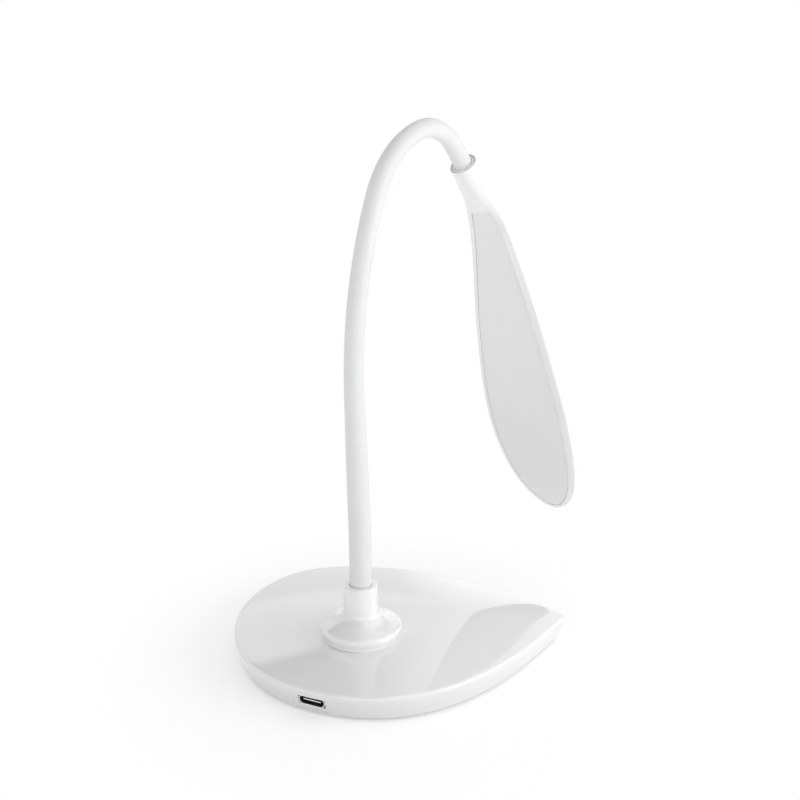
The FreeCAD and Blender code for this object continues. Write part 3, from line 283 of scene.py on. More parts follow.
def piece_from(name, vertices, faces, material, slot=None, sharp_turn=None):
    """A smooth-shaded mesh object with outward normals."""
    mesh = bpy.data.meshes.new(name)
    mesh.from_pydata([tuple(v) for v in vertices], [], faces)
    made = bmesh.new()
    made.from_mesh(mesh)
    bmesh.ops.recalc_face_normals(made, faces=made.faces)
    made.to_mesh(mesh)
    made.free()
    mesh.polygons.foreach_set("use_smooth", [True] * len(mesh.polygons))
    mesh.materials.append(material)
    piece = bpy.data.objects.new(name, mesh)
    bpy.context.scene.collection.objects.link(piece)
    if sharp_turn:
        mesh.set_sharp_from_angle(angle=sharp_turn)
    return piece


def ring_faces(rings, around, closed_along=False):
    """Quads between successive rings that have the same number of points."""
    faces = []
    last = rings if closed_along else rings - 1
    for i in range(last):
        a, b = i * around, ((i + 1) % rings) * around
        for j in range(around):
            k = (j + 1) % around
            faces.append((a + j, a + k, b + k, b + j))
    return faces


def flat_ended(rings):
    """Vertices and faces of a solid through rings, closed with a flat face at both ends."""
    around = len(rings[0])
    points = np.vstack([np.array(ring) for ring in rings])
    ends = [tuple(range(around)), tuple(range(len(points) - around, len(points)))]
    return points, ring_faces(len(rings), around) + ends


def capped_rings(rings, first_tip, last_tip):
    """Vertices and faces of a closed skin through rings, ending in a point at both ends."""
    around = len(rings[0])
    points = np.vstack([first_tip[None, :]] + list(rings) + [last_tip[None, :]])
    faces = [tuple(i + 1 for i in face) for face in ring_faces(len(rings), around)]
    last, base = len(points) - 1, len(points) - 1 - around
    for j in range(around):
        k = (j + 1) % around
        faces.append((0, 1 + k, 1 + j))
        faces.append((last, base + j, base + k))
    return points, faces


def clamped_slopes(parameters, places, first, last):
    """Slopes of the smooth curve that runs through places and has given slopes at its ends."""
    count = len(parameters)
    gaps = np.diff(parameters)
    steps = np.diff(places, axis=0) / gaps[:, None]
    matrix, right = np.eye(count), np.zeros(places.shape)
    right[0], right[-1] = first, last
    for i in range(1, count - 1):
        before, after = gaps[i - 1], gaps[i]
        matrix[i, i - 1 : i + 2] = after, 2 * (before + after), before
        right[i] = 3 * (after * steps[i - 1] + before * steps[i])
    return np.linalg.solve(matrix, right)


class SmoothCurve:
    """A smooth curve through places, asked for its points and slopes by parameter.

    Its end slopes, where not given, run along its first and last steps.
    """

    def __init__(self, parameters, places, first=None, last=None):
        self.parameters, self.places = np.asarray(parameters), np.asarray(places, float)
        steps = np.diff(self.places, axis=0) / np.diff(self.parameters)[:, None]
        first = steps[0] if first is None else first
        last = steps[-1] if last is None else last
        self.slopes = clamped_slopes(self.parameters, self.places, first, last)
        self.end = self.parameters[-1]

    def at(self, p):
        """Points and slopes at an array of parameters."""
        p = np.clip(p, self.parameters[0], self.end)
        i = np.clip(np.searchsorted(self.parameters, p, side="right") - 1, 0, len(self.parameters) - 2)
        gap = (self.parameters[i + 1] - self.parameters[i])[:, None]
        t = (p - self.parameters[i])[:, None] / gap
        a, b = self.places[i], self.places[i + 1]
        u, v = self.slopes[i] * gap, self.slopes[i + 1] * gap
        point = (2 * t**3 - 3 * t**2 + 1) * a + (t**3 - 2 * t**2 + t) * u
        point += (3 * t**2 - 2 * t**3) * b + (t**3 - t**2) * v
        slope = (6 * t**2 - 6 * t) * (a - b) + (3 * t**2 - 4 * t + 1) * u + (3 * t**2 - 2 * t) * v
        return point, slope / gap


# Leaf outline and dome of the base

# Headings in which the leaf's edge leaves its tip and comes back to it
TIP_LEAVING_DEG = -129.813
TIP_ARRIVING_DEG = -54.180
SIDE_STEPS = 230
TIP_STEPS = 12
DOME_RAYS = 720


class Leaf:
    """The leaf's edge and the dome over it, made once from the base's settings."""

    def __init__(self, base):
        self.base = base
        size = np.array((base.leaf_length, base.leaf_width))
        places = np.array([TIP_SHARES] + LEAF_EDGE_SHARES + [TIP_SHARES]) * size
        lengths = np.linalg.norm(np.diff(places, axis=0), axis=1)
        ways = [np.radians(TIP_LEAVING_DEG), np.radians(TIP_ARRIVING_DEG)]
        first, last = (np.array((np.cos(way), np.sin(way))) for way in ways)
        self.edge = SmoothCurve(np.concatenate(([0], np.cumsum(lengths))), places, first, last)
        self.half_tip = (np.pi - (ways[1] - ways[0])) / 2
        self.center = np.array(CROWN_CENTER_SHARES) * size
        rays = self.edge.at(np.linspace(0, self.edge.end, DOME_RAYS, endpoint=False))[0] - self.center
        angles, reaches = np.arctan2(rays[:, 1], rays[:, 0]), np.linalg.norm(rays, axis=1)
        order = np.argsort(angles)
        angles, reaches = angles[order], reaches[order]
        self.angles = np.radians(np.arange(-180, 181))
        turns = (self.angles[:, None] - angles + np.pi) % (2 * np.pi) - np.pi
        spans = np.gradient(np.unwrap(angles))
        weights = np.exp(-((turns / base.crown_smoothing) ** 2)) * spans
        self.reach = (weights * reaches).sum(axis=1) / weights.sum(axis=1)

    def dome(self, points):
        """Height of the dome over points of the table."""
        rays = points - self.center
        reach = np.interp(np.arctan2(rays[:, 1], rays[:, 0]), self.angles, self.reach)
        share = np.linalg.norm(rays, axis=1) / reach
        return self.base.edge_height + self.base.crown_rise * (1 - share**2)

    def ring(self, inset):
        """Points round the leaf's edge, drawn in by an inset, with the tip rounded off."""
        inset = np.broadcast_to(inset, (SIDE_STEPS + TIP_STEPS,))
        radius = self.base.tip_radius
        taken = (inset + radius) / np.tan(self.half_tip)
        taken, tip_taken = np.split(taken, [SIDE_STEPS + 1])
        inset, tip_inset = np.split(inset[:, None], [SIDE_STEPS + 1])
        way = taken + (self.edge.end - 2 * taken) * np.linspace(0, 1, SIDE_STEPS + 1)
        side, normal = self.side(way)
        turn = (np.arange(1, TIP_STEPS) / TIP_STEPS)[:, None]
        center, angle = 0, 0
        for way, share in ((self.edge.end - tip_taken, 1 - turn), (tip_taken, turn)):
            point, inwards = self.side(way)
            center = center + (point + inwards * (tip_inset + radius)) * share
            angle = angle + np.arctan2(-inwards[:, 1], -inwards[:, 0])[:, None] * share
        arc = center + radius * np.hstack((np.cos(angle), np.sin(angle)))
        return np.vstack((side + normal * inset, arc))

    def side(self, way):
        """Points of the edge and the level unit vectors from there to the inside."""
        point, slope = self.edge.at(way)
        slope = slope / np.linalg.norm(slope, axis=1)[:, None]
        return point, np.column_stack((slope[:, 1], -slope[:, 0]))

    def wall_inset(self, height):
        """How far the drafted wall stands inside the edge at a height."""
        return (self.base.edge_height - height) * math.tan(self.base.wall_draft)


def lifted(points, height):
    """Points of the table, raised to a height that may differ from point to point."""
    return np.column_stack((points, np.broadcast_to(height, len(points))))


# How often the edge's height and inset are worked out from each other
HEIGHT_PASSES = 4
# How far inside the edge the dome's slope is measured
SLOPE_PROBE = MM


def rounded_edge(leaf, steps):
    """Rings of the soft edge between the drafted wall and the dome."""
    base = leaf.base
    height = np.full(SIDE_STEPS + TIP_STEPS, base.edge_height)
    for _ in range(HEIGHT_PASSES):
        inset = leaf.wall_inset(height)
        height = leaf.dome(leaf.ring(inset))
    slope = np.arctan2(leaf.dome(leaf.ring(inset + SLOPE_PROBE)) - height, SLOPE_PROBE)
    draft = base.wall_draft
    down = np.column_stack((np.full(len(slope), math.sin(draft)), np.full(len(slope), -math.cos(draft))))
    over = np.column_stack((np.cos(slope), np.sin(slope)))
    corner = np.column_stack((inset, height))
    angle = np.arccos((down * over).sum(axis=1))[:, None]
    back_off = base.edge_round / np.tan(angle / 2)
    middle = (down + over) / np.linalg.norm(down + over, axis=1)[:, None]
    center = corner + middle * base.edge_round / np.sin(angle / 2)
    start = (corner + down * back_off - center) / base.edge_round
    end = (corner + over * back_off - center) / base.edge_round
    sweep = np.pi - angle
    rings = []
    for share in np.linspace(0, 1, steps + 1):
        out = (np.sin((1 - share) * sweep) * start + np.sin(share * sweep) * end) / np.sin(sweep)
        place = center + out * base.edge_round
        rings.append(lifted(leaf.ring(place[:, 0]), place[:, 1]))
    return rings


def dome_rings(leaf, outer, shares, lowering, least=0.0):
    """Rings of the dome from an outer ring in to its middle."""
    rings = []
    for share in shares:
        points = leaf.center + (outer[:, :2] - leaf.center) * share
        rings.append(lifted(points, np.maximum(leaf.dome(points) - lowering, least)))
    return rings


DOME_STEPS = 40
EDGE_STEPS = 9
WALL_SHARES = (0.33, 0.67)
SEAM_TURNS_DEG = (0, 30, 60, 90)


def cover_mesh(leaf):
    """Rings of the cover from the middle of its top, over the edge, round the seam and up inside."""
    base = leaf.base
    seam, round_off = base.seam_height, base.seam_round
    edge = rounded_edge(leaf, EDGE_STEPS)
    dome = dome_rings(leaf, edge[-1], np.linspace(1, 0, DOME_STEPS + 1)[1:-1], 0.0)
    wall_top = edge[0][:, 2]
    wall = []
    for share in WALL_SHARES:
        height = wall_top + (seam + round_off - wall_top) * share
        wall.append(lifted(leaf.ring(leaf.wall_inset(height)), height))
    for turn in np.radians(SEAM_TURNS_DEG):
        height = seam + round_off * (1 - math.sin(turn))
        inset = leaf.wall_inset(height) + round_off * (1 - math.cos(turn))
        wall.append(lifted(leaf.ring(inset), height))
    inner_inset = leaf.wall_inset(seam) + base.cover_wall
    inner = lifted(leaf.ring(inner_inset), seam)
    least = seam + round_off
    roof = dome_rings(leaf, inner, np.linspace(1, 0, DOME_STEPS // 2 + 1)[:-1], base.cover_roof, least)
    rings = dome[::-1] + edge[::-1] + wall + [inner] + roof
    top = lifted(leaf.center[None, :], leaf.dome(leaf.center[None, :]))
    under = lifted(leaf.center[None, :], leaf.dome(leaf.center[None, :]) - base.cover_roof)
    return capped_rings(rings, top[0], under[0])


def turned(profile, around):
    """Vertices and faces of a closed profile of (radius, height) turned about the upright axis."""
    turns = [2 * math.pi * j / around for j in range(around)]
    points = [(r * math.cos(t), r * math.sin(t), height) for r, height in profile for t in turns]
    return points, ring_faces(len(profile), around, closed_along=True)


def arc_places(center, radius, start_deg, end_deg, steps):
    """Places on an arc of a profile, ends included."""
    turns = [math.radians(start_deg + (end_deg - start_deg) * i / steps) for i in range(steps + 1)]
    return [(center[0] + radius * math.cos(t), center[1] + radius * math.sin(t)) for t in turns]


# Route of the neck


def neck_route():
    """The neck's route as (length, turn), up from the base; a turn to the right is negative."""
    neck = bpy.context.scene.leaf_lamp_neck
    return [
        (neck.rise, 0.0),
        (neck.lean_radius * neck.lean_turn, neck.lean_turn),
        (neck.lean_run, 0.0),
        (neck.shoulder_radius * neck.shoulder_turn, -neck.shoulder_turn),
        (neck.arch_radius * neck.arch_turn, -neck.arch_turn),
        (neck.crook_radius * neck.crook_turn, -neck.crook_turn),
        (neck.end_run + neck.socket_entry + neck.lead_run, 0.0),
        (neck.lead_exit_radius * neck.lead_exit_turn, neck.lead_exit_turn),
        (neck.lead_tail, 0.0),
    ]


def in_arch_plane(across, up):
    azimuth = bpy.context.scene.leaf_lamp_neck.arch_azimuth
    return Vector((across * math.cos(azimuth), across * math.sin(azimuth), up))


def route_state(distance):
    """Where the route is after a distance, and its heading above the level."""
    across, up = 0.0, bpy.context.scene.leaf_lamp_neck.start_height
    heading, left = math.radians(90), distance
    for length, turn in neck_route():
        step = min(left, length)
        part = turn * step / length
        chord = step
        if turn:
            radius = length / abs(turn)
            chord = 2 * radius * math.sin(abs(part) / 2)
        way = heading + part / 2
        across, up = across + chord * math.cos(way), up + chord * math.sin(way)
        heading += part
        left -= step
        if left <= 0:
            break
    return in_arch_plane(across, up), heading


def route_length():
    """Length of the sleeve's route, which ends before the lead's own way through the head."""
    neck = bpy.context.scene.leaf_lamp_neck
    tail = neck.lead_run + neck.lead_exit_radius * neck.lead_exit_turn + neck.lead_tail
    return sum(length for length, _ in neck_route()) - tail


def route_direction(heading):
    return in_arch_plane(math.cos(heading), math.sin(heading))


ROUTE_SAMPLES = 2000


def joint_distances():
    """How far along the route each joint of the neck lies, found on the route itself."""
    distances = [route_length() * i / ROUTE_SAMPLES for i in range(ROUTE_SAMPLES + 1)]
    places = [route_state(distance)[0] for distance in distances]
    found = []
    for joint in frame["joints"]:
        pivot = Vector(joint["pos_m"])
        nearest = min(range(len(places)), key=lambda i: (places[i] - pivot).length)
        found.append(distances[nearest])
    return found


def neck_stretches(start, end):
    """For each joint: the joint, its stretch of the route, and the part of it that bends."""
    neck = bpy.context.scene.leaf_lamp_neck
    collar_top = bpy.context.scene.leaf_lamp_base.collar_rim_height - neck.start_height
    ring_place = route_length() - neck.socket_entry - neck.steady_end
    joints = joint_distances()
    cuts = [start] + [(a + b) / 2 for a, b in zip(joints[:-1], joints[1:])] + [end]
    return [
        (joint, low, high, max(low, collar_top), min(high, ring_place))
        for joint, low, high in zip(frame["joints"], cuts[:-1], cuts[1:])
    ]


# Materials

WHITE = (1, 1, 1, 1)
# The middle of a noise's range, in which nearly all of its values lie
NOISE_MIDDLE = (0.3, 0.7)


class NodeTree:
    """Adds and joins the nodes of a material or of the world."""

    def __init__(self, owner):
        owner.use_nodes = True
        self.nodes, self.links = owner.node_tree.nodes, owner.node_tree.links
        self.nodes.clear()

    def put(self, node, inputs):
        """Sets inputs of a node to values, or joins them to outputs of other nodes."""
        for name, value in inputs.items():
            if isinstance(value, bpy.types.NodeSocket):
                self.links.new(value, node.inputs[name])
            else:
                node.inputs[name].default_value = value

    def add(self, kind, inputs=None, **settings):
        node = self.nodes.new("ShaderNode" + kind)
        for setting, value in settings.items():
            setattr(node, setting, value)
        self.put(node, inputs or {})
        return node

    def math(self, operation, first, second):
        return self.add("Math", {0: first, 1: second}, operation=operation).outputs["Value"]

    def noise(self, scale_per_mm, detail, roughness, stretch=(1, 1, 1)):
        """Noise fixed to the object, with its scale given per millimetre."""
        place = self.add("TexCoord").outputs["Object"]
        place = self.add("Mapping", {"Vector": place, "Scale": stretch}).outputs["Vector"]
        fineness = {"Scale": scale_per_mm / MM, "Detail": detail, "Roughness": roughness}
        return self.add("TexNoise", {"Vector": place, **fineness}).outputs["Fac"]

    def ranged(self, source, low, high):
        """Maps noise from its middle range to the given range."""
        ends = dict(zip(("From Min", "From Max", "To Min", "To Max"), (*NOISE_MIDDLE, low, high)))
        return self.add("MapRange", {"Value": source, **ends}).outputs["Result"]

    def steps(self, source, stops):
        """A colour ramp through stops of (position, colour)."""
        node = self.add("ValToRGB", {"Fac": source})
        elements = node.color_ramp.elements
        while len(elements) < len(stops):
            elements.new(1.0)
        for element, (position, color) in zip(elements, stops):
            element.position = position
            element.color = (*color, 1.0)
        return node.outputs["Color"]

    def tinted(self, source, color, change):
        """A colour that wanders slightly darker and lighter with the noise."""
        tints = [[min(c * factor, 1.0) for c in color] for factor in (1 - change, 1 + change)]
        return self.steps(source, list(zip(NOISE_MIDDLE, tints)))

    def bumped(self, heights, depth_mm, strength):
        """A normal that follows heights, each given with its share of the strength."""
        normal = None
        for height, share in heights:
            inputs = {"Strength": strength * share, "Distance": depth_mm * MM, "Height": height}
            if normal:
                inputs["Normal"] = normal
            normal = self.add("Bump", inputs).outputs["Normal"]
        return normal


def new_material(name):
    """A material, its node tree and its shader."""
    material = bpy.data.materials.new(name)
    tree = NodeTree(material)
    shader = tree.add("BsdfPrincipled")
    tree.output = tree.add("OutputMaterial", {"Surface": shader.outputs["BSDF"]})
    return material, tree, shader


def surface(name, color, wander, broad, grain, rough, bump, wave=None, **looks):
    """A surface whose colour wanders over broad patches, and whose gloss and relief follow its grain.

    broad, grain and wave are noises as (scale per mm, detail, roughness), and bump is (depth in mm,
    strength). With a wave, it gives half of the relief and the grain only a little.
    """
    material, tree, shader = new_material(name)
    grain = tree.noise(*grain)
    heights = [(tree.noise(*wave), 0.5), (grain, 0.12)] if wave else [(grain, 1.0)]
    tree.put(shader, {"Base Color": tree.tinted(tree.noise(*broad), color, wander)})
    tree.put(shader, {"Roughness": tree.ranged(grain, *rough), "Normal": tree.bumped(heights, *bump)})
    tree.put(shader, {look.replace("_", " "): value for look, value in looks.items()})
    return material


def moulded_plastic(name, color, rough, coat):
    """Injection-moulded plastic: a faint wave from moulding, fine grain and uneven gloss."""
    noises = {"broad": (0.035, 2, 0.5), "wave": (0.11, 1, 0.4), "grain": (1.25, 3, 0.6)}
    lacquer = {"Coat_Weight": coat, "Coat_Roughness": 0.025, "Coat_IOR": 1.5}
    return surface(name, color, 0.012, rough=rough, bump=(0.05, 0.02), IOR=1.49, **noises, **lacquer)


def silicone(name, color):
    """Soft silicone: satin, with a fine dry bloom and a little light going in."""
    noises = {"broad": (0.06, 2, 0.5), "grain": (1.6, 4, 0.65)}
    depth = {"Subsurface_Weight": 0.12, "Subsurface_Radius": (1.0, 0.95, 0.9), "Subsurface_Scale": 0.8 * MM}
    bloom = {"Sheen_Weight": 0.10, "Sheen_Roughness": 0.4}
    looks = {**noises, **depth, **bloom, "IOR": 1.42}
    return surface(name, color, 0.014, rough=(0.40, 0.56), bump=(0.02, 0.35), **looks)


def opal_panel(name, color):
    """Opal diffuser: matt, finely frosted, with light going in under the surface."""
    noises = {"broad": (0.02, 1, 0.5), "grain": (3.0, 4, 0.7)}
    depth = {"Subsurface_Weight": 0.2, "Subsurface_Radius": (1.0, 1.0, 1.0), "Subsurface_Scale": 1.5 * MM}
    return surface(name, color, 0.015, rough=(0.48, 0.62), bump=(0.015, 0.4), IOR=1.49, **noises, **depth)


def rubber(name, color):
    noises = {"broad": (0.05, 2, 0.5), "grain": (2.2, 4, 0.7)}
    return surface(name, color, 0.06, rough=(0.62, 0.82), bump=(0.04, 0.6), IOR=1.45, **noises)


def worked_metal(name, color, rough, stretch, lines_per_mm):
    """Turned, rolled or brushed metal with its marks running across the stretch."""
    noises = {"broad": (0.2, 3, 0.6), "grain": (lines_per_mm, 3, 0.6, stretch)}
    return surface(name, color, 0.06, rough=rough, bump=(0.01, 0.3), Metallic=1.0, **noises)


def plain_plastic(name, color, rough):
    """Small moulded parts, boards and jackets, with a fine grain."""
    noises = {"broad": (0.3, 3, 0.6), "grain": (4.0, 3, 0.6)}
    return surface(name, color, 0.08, rough=rough, bump=(0.01, 0.3), IOR=1.5, **noises)


FINISHES = {}


def make_finishes():
    finish = bpy.context.scene.leaf_lamp_finish
    metals = {
        # name of the material, colour, roughness from and to, stretch of the marks, marks per mm
        "bright_steel": ("bright_plated_steel", (0.72, 0.72, 0.73), (0.18, 0.30), (1, 1, 6), 2.0),
        "plain_steel": ("rolled_steel_plate", (0.42, 0.42, 0.43), (0.35, 0.50), (8, 1, 1), 1.0),
        "spring_steel": ("plated_spring_wire", (0.70, 0.68, 0.60), (0.22, 0.34), (1, 1, 1), 3.0),
        "hose_steel": ("wound_hose_steel", (0.50, 0.50, 0.52), (0.25, 0.40), (1, 1, 12), 1.0),
        "brass": ("turned_brass", (0.74, 0.56, 0.26), (0.22, 0.36), (1, 1, 8), 2.0),
        "contact_steel": ("bright_contacts", (0.85, 0.84, 0.82), (0.30, 0.45), (1, 1, 1), 2.0),
        "cell_foil": ("pouch_foil", (0.72, 0.73, 0.74), (0.28, 0.42), (1, 1, 1), 0.6),
    }
    plastics = {
        "black_plastic": ("black_moulding", (0.02, 0.02, 0.021), (0.35, 0.5)),
        "foam": ("black_foam_tape", (0.03, 0.03, 0.03), (0.8, 0.95)),
        "board_green": ("green_board_mask", (0.02, 0.14, 0.06), (0.25, 0.4)),
        "board_white": ("white_board_mask", (0.80, 0.80, 0.79), (0.3, 0.45)),
        "led_yellow": ("phosphor_chips", (0.78, 0.62, 0.10), (0.4, 0.55)),
        "lead_jacket": ("black_lead_jacket", (0.03, 0.03, 0.032), (0.4, 0.55)),
    }
    FINISHES.update(
        shell_white=moulded_plastic("gloss_white_shell", finish.shell_white, (0.05, 0.09), 1.0),
        case_white=moulded_plastic("gloss_white_case", finish.case_white, (0.10, 0.16), 0.5),
        sleeve_silicone=silicone("white_silicone_sleeve", finish.sleeve_white),
        diffuser_grey=opal_panel("opal_diffuser", finish.diffuser_grey),
        pad_rubber=rubber("grey_anti_slip_pad", finish.pad_grey),
    )
    FINISHES.update({slot: worked_metal(*looks) for slot, looks in metals.items()})
    FINISHES.update({slot: plain_plastic(*looks) for slot, looks in plastics.items()})


# Operators


class LEAFLAMP_OT_finishes(bpy.types.Operator):
    """Gives each carried-over part of the frame its finish"""

    bl_idname = "leaf_lamp.finishes"
    bl_label = "Finish the frame"

    def execute(self, context):
        make_finishes()
        for entry in frame["record"]["subparts"]:
            part = frame["nodes"][entry["node"]]
            for material_slot in part.material_slots:
                material_slot.material = FINISHES[entry["material_slot"]]
        return {"FINISHED"}


SLEEVE_AROUND = 48
SLEEVE_STEP = 1.2 * MM
# How far the sleeve's ends stand off the ferrules
SLEEVE_END_GAP = 0.1 * MM
LEAST_STEPS = 4


def sleeve_radius(distance):
    """Steady at both ends and slimmer by a smooth taper between them."""
    neck = bpy.context.scene.leaf_lamp_neck
    share = (distance - neck.taper_start) / (neck.taper_end - neck.taper_start)
    share = min(max(share, 0), 1)
    share = share * share * (3 - 2 * share)
    return neck.radius_bottom + (neck.radius_top - neck.radius_bottom) * share


def ring_round(center, level, direction, radius, around):
    """A ring of points square to a direction."""
    normal = level.cross(direction)
    turns = [2 * math.pi * j / around for j in range(around)]
    return [center + level * (radius * math.cos(t)) + normal * (radius * math.sin(t)) for t in turns]


def neck_ring(distance, radius, around):
    """A ring of points square to the neck's route."""
    center, heading = route_state(distance)
    azimuth = bpy.context.scene.leaf_lamp_neck.arch_azimuth
    level = Vector((math.sin(azimuth), -math.cos(azimuth), 0))
    return ring_round(center, level, route_direction(heading), radius, around)


def spaced(low, high, step):
    """Distances from low to high, about a step apart."""
    count = max(LEAST_STEPS, round((high - low) / step))
    return [low + (high - low) * i / count for i in range(count + 1)]


class LEAFLAMP_OT_sleeve(bpy.types.Operator):
    """Makes the silicone sleeve of the neck as stretches, one for each joint"""

    bl_idname = "leaf_lamp.sleeve"
    bl_label = "Neck sleeve"

    def execute(self, context):
        neck = context.scene.leaf_lamp_neck
        ferrule_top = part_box("neck_lower_ferrule")[1].z
        start = ferrule_top - neck.start_height + SLEEVE_END_GAP
        end = route_length() - SLEEVE_END_GAP
        for number, (joint, low, high, steady, moved) in enumerate(neck_stretches(start, end)):
            distances = spaced(low, high, SLEEVE_STEP)
            outer = [neck_ring(d, sleeve_radius(d), SLEEVE_AROUND) for d in distances]
            inner = [neck_ring(d, neck.bore_radius, SLEEVE_AROUND) for d in reversed(distances)]
            rings = outer + inner
            piece = piece_from(
                f"neck_sleeve_{number + 1}",
                [p for ring in rings for p in ring],
                ring_faces(len(rings), SLEEVE_AROUND, closed_along=True),
                FINISHES["sleeve_silicone"],
                "sleeve_silicone",
                TUBE_SHARP_TURN,
            )
            route_state(steady)[0]
            route_state(moved)[0]
            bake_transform(piece)
            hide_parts("neck_sleeve")
        return {"FINISHED"}


LEAD_AROUND = 16
LEAD_STEP = 1.5 * MM
LEAD_TURN_STEPS = 8


class LEAFLAMP_OT_lead(bpy.types.Operator):
    """Makes the lead inside the neck, from the board into the head, as stretches, one for each joint"""

    bl_idname = "leaf_lamp.lead"
    bl_label = "Neck lead"

    def execute(self, context):
        neck = context.scene.leaf_lamp_neck
        whole = sum(length for length, _ in neck_route())
        foot = self.tube("neck_lead_foot", self.foot(context.scene))
        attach(foot, "base")
        for number, (joint, low, high, steady, moved) in enumerate(neck_stretches(0.0, whole)):
            distances = spaced(low, high, LEAD_STEP)
            rings = [neck_ring(d, neck.lead_radius, LEAD_AROUND) for d in distances]
            piece = self.tube(f"neck_lead_{number + 1}", rings)
            route_state(steady)[0]
            route_state(moved)[0]
            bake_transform(piece)
        return {"FINISHED"}

    def foot(self, scene):
        """Rings from the board's edge, level to the neck's axis and up its bend to the neck's start."""
        neck = scene.leaf_lamp_neck
        azimuth = scene.leaf_lamp_base.port_azimuth
        away = Vector((math.cos(azimuth), math.sin(azimuth), 0))
        level = Vector((-away.y, away.x, 0))
        up = Vector((0, 0, 1))
        turn = neck.lead_turn_radius
        middle = away * turn + up * (neck.lead_height + turn)
        route = [(away * neck.lead_reach + up * neck.lead_height, -away)]
        for a in np.radians(np.linspace(0, 90, LEAD_TURN_STEPS + 1)):
            toward, rise = -away * math.cos(a), up * math.sin(a)
            route.append((middle - up * turn * math.cos(a) - away * turn * math.sin(a), toward + rise))
        route.append((up * neck.start_height, up))
        return [ring_round(place, level, way, neck.lead_radius, LEAD_AROUND) for place, way in route]

    def tube(self, name, rings):
        jacket = FINISHES["lead_jacket"]
        made = piece_from(name, *flat_ended(rings), jacket, "lead_jacket", TUBE_SHARP_TURN)
        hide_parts("neck_lead")
        return made


class LEAFLAMP_OT_cover(bpy.types.Operator):
    """Makes the domed glossy cover of the base with its soft edge"""

    bl_idname = "leaf_lamp.cover"
    bl_label = "Base cover"

    def execute(self, context):
        points, faces = cover_mesh(Leaf(context.scene.leaf_lamp_base))
        gloss = FINISHES["shell_white"]
        cover = piece_from("base_cover", points, faces, gloss, "shell_white", SHARP_TURN)
        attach(cover, "base")
        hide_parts("base_top_cover")
        return {"FINISHED"}


COLLAR_AROUND = 128
MOUTH_STEPS = 4
RIM_STEPS = 6
FLARE_STEPS = 26
FLARE_HANDLE_SHARE = 0.45
LIP_STEPS = 8
LIP_HANDLE_SHARE = 0.55


class LEAFLAMP_OT_collar(bpy.types.Operator):
    """Turns the trumpet-shaped collar at the foot of the neck"""

    bl_idname = "leaf_lamp.collar"
    bl_label = "Neck collar"

    def execute(self, context):
        base = context.scene.leaf_lamp_base
        points, faces = turned(self.profile(base), COLLAR_AROUND)
        gloss = FINISHES["shell_white"]
        collar = piece_from("collar", points, faces, gloss, "shell_white", SHARP_TURN)
        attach(collar, "base")
        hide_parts("neck_collar")
        return {"FINISHED"}

    def profile(self, base):
        mouth, rim, top = base.collar_mouth_radius, base.collar_rim_radius, base.collar_rim_height
        small, lip = base.collar_rim_round, base.collar_lip
        profile = [(mouth, base.collar_bottom), (mouth, top - small / 2)]
        profile += arc_places((mouth + small / 2, top - small / 2), small / 2, 180, 90, MOUTH_STEPS)
        profile += arc_places((rim - small, top - small), small, 90, 0, RIM_STEPS)
        slope = base.collar_lip_slope
        brow = (base.collar_flare_radius - lip, base.collar_lip_height)
        handle = (brow[0] - base.collar_waist_radius) * FLARE_HANDLE_SHARE
        flare = [
            (base.collar_waist_radius, base.collar_waist_height),
            (base.collar_waist_radius, brow[1] + (base.collar_waist_height - brow[1]) * FLARE_HANDLE_SHARE),
            (brow[0] - handle * math.cos(slope), brow[1] + handle * math.sin(slope)),
            brow,
        ]
        edge = (base.collar_flare_radius, base.collar_flare_height)
        rise, run = brow[1] - edge[1], lip * LIP_HANDLE_SHARE
        roll = [
            brow,
            (brow[0] + run * math.cos(slope), brow[1] - run * math.sin(slope)),
            (edge[0], edge[1] + rise * LIP_HANDLE_SHARE),
            edge,
        ]
        fall = edge[1] - base.collar_foot_height
        under = [
            edge,
            (edge[0], edge[1] - fall * LIP_HANDLE_SHARE),
            (base.collar_foot_radius, base.collar_foot_height + fall * LIP_HANDLE_SHARE / 2),
            (base.collar_foot_radius, base.collar_foot_height),
        ]
        for poles, steps in ((flare, FLARE_STEPS), (roll, LIP_STEPS), (under, LIP_STEPS)):
            profile += [tuple(place) for place in bezier(np.array(poles), np.linspace(0, 1, steps + 1)[1:])]
        profile.append((base.collar_foot_radius, base.collar_bottom))
        return profile


def stadium(half, radius, steps):
    """A flat ring with round ends, as places across and up."""
    right = np.radians(np.linspace(-90, 90, steps))
    places = [(half - radius + radius * math.cos(a), radius * math.sin(a)) for a in right]
    return places + [(-x, -y) for x, y in places]


# Points on each round end of the black cup of painted shade
PAINTED_SHADE_END_POINTS = 9
CONTACT_END_POINTS = 4


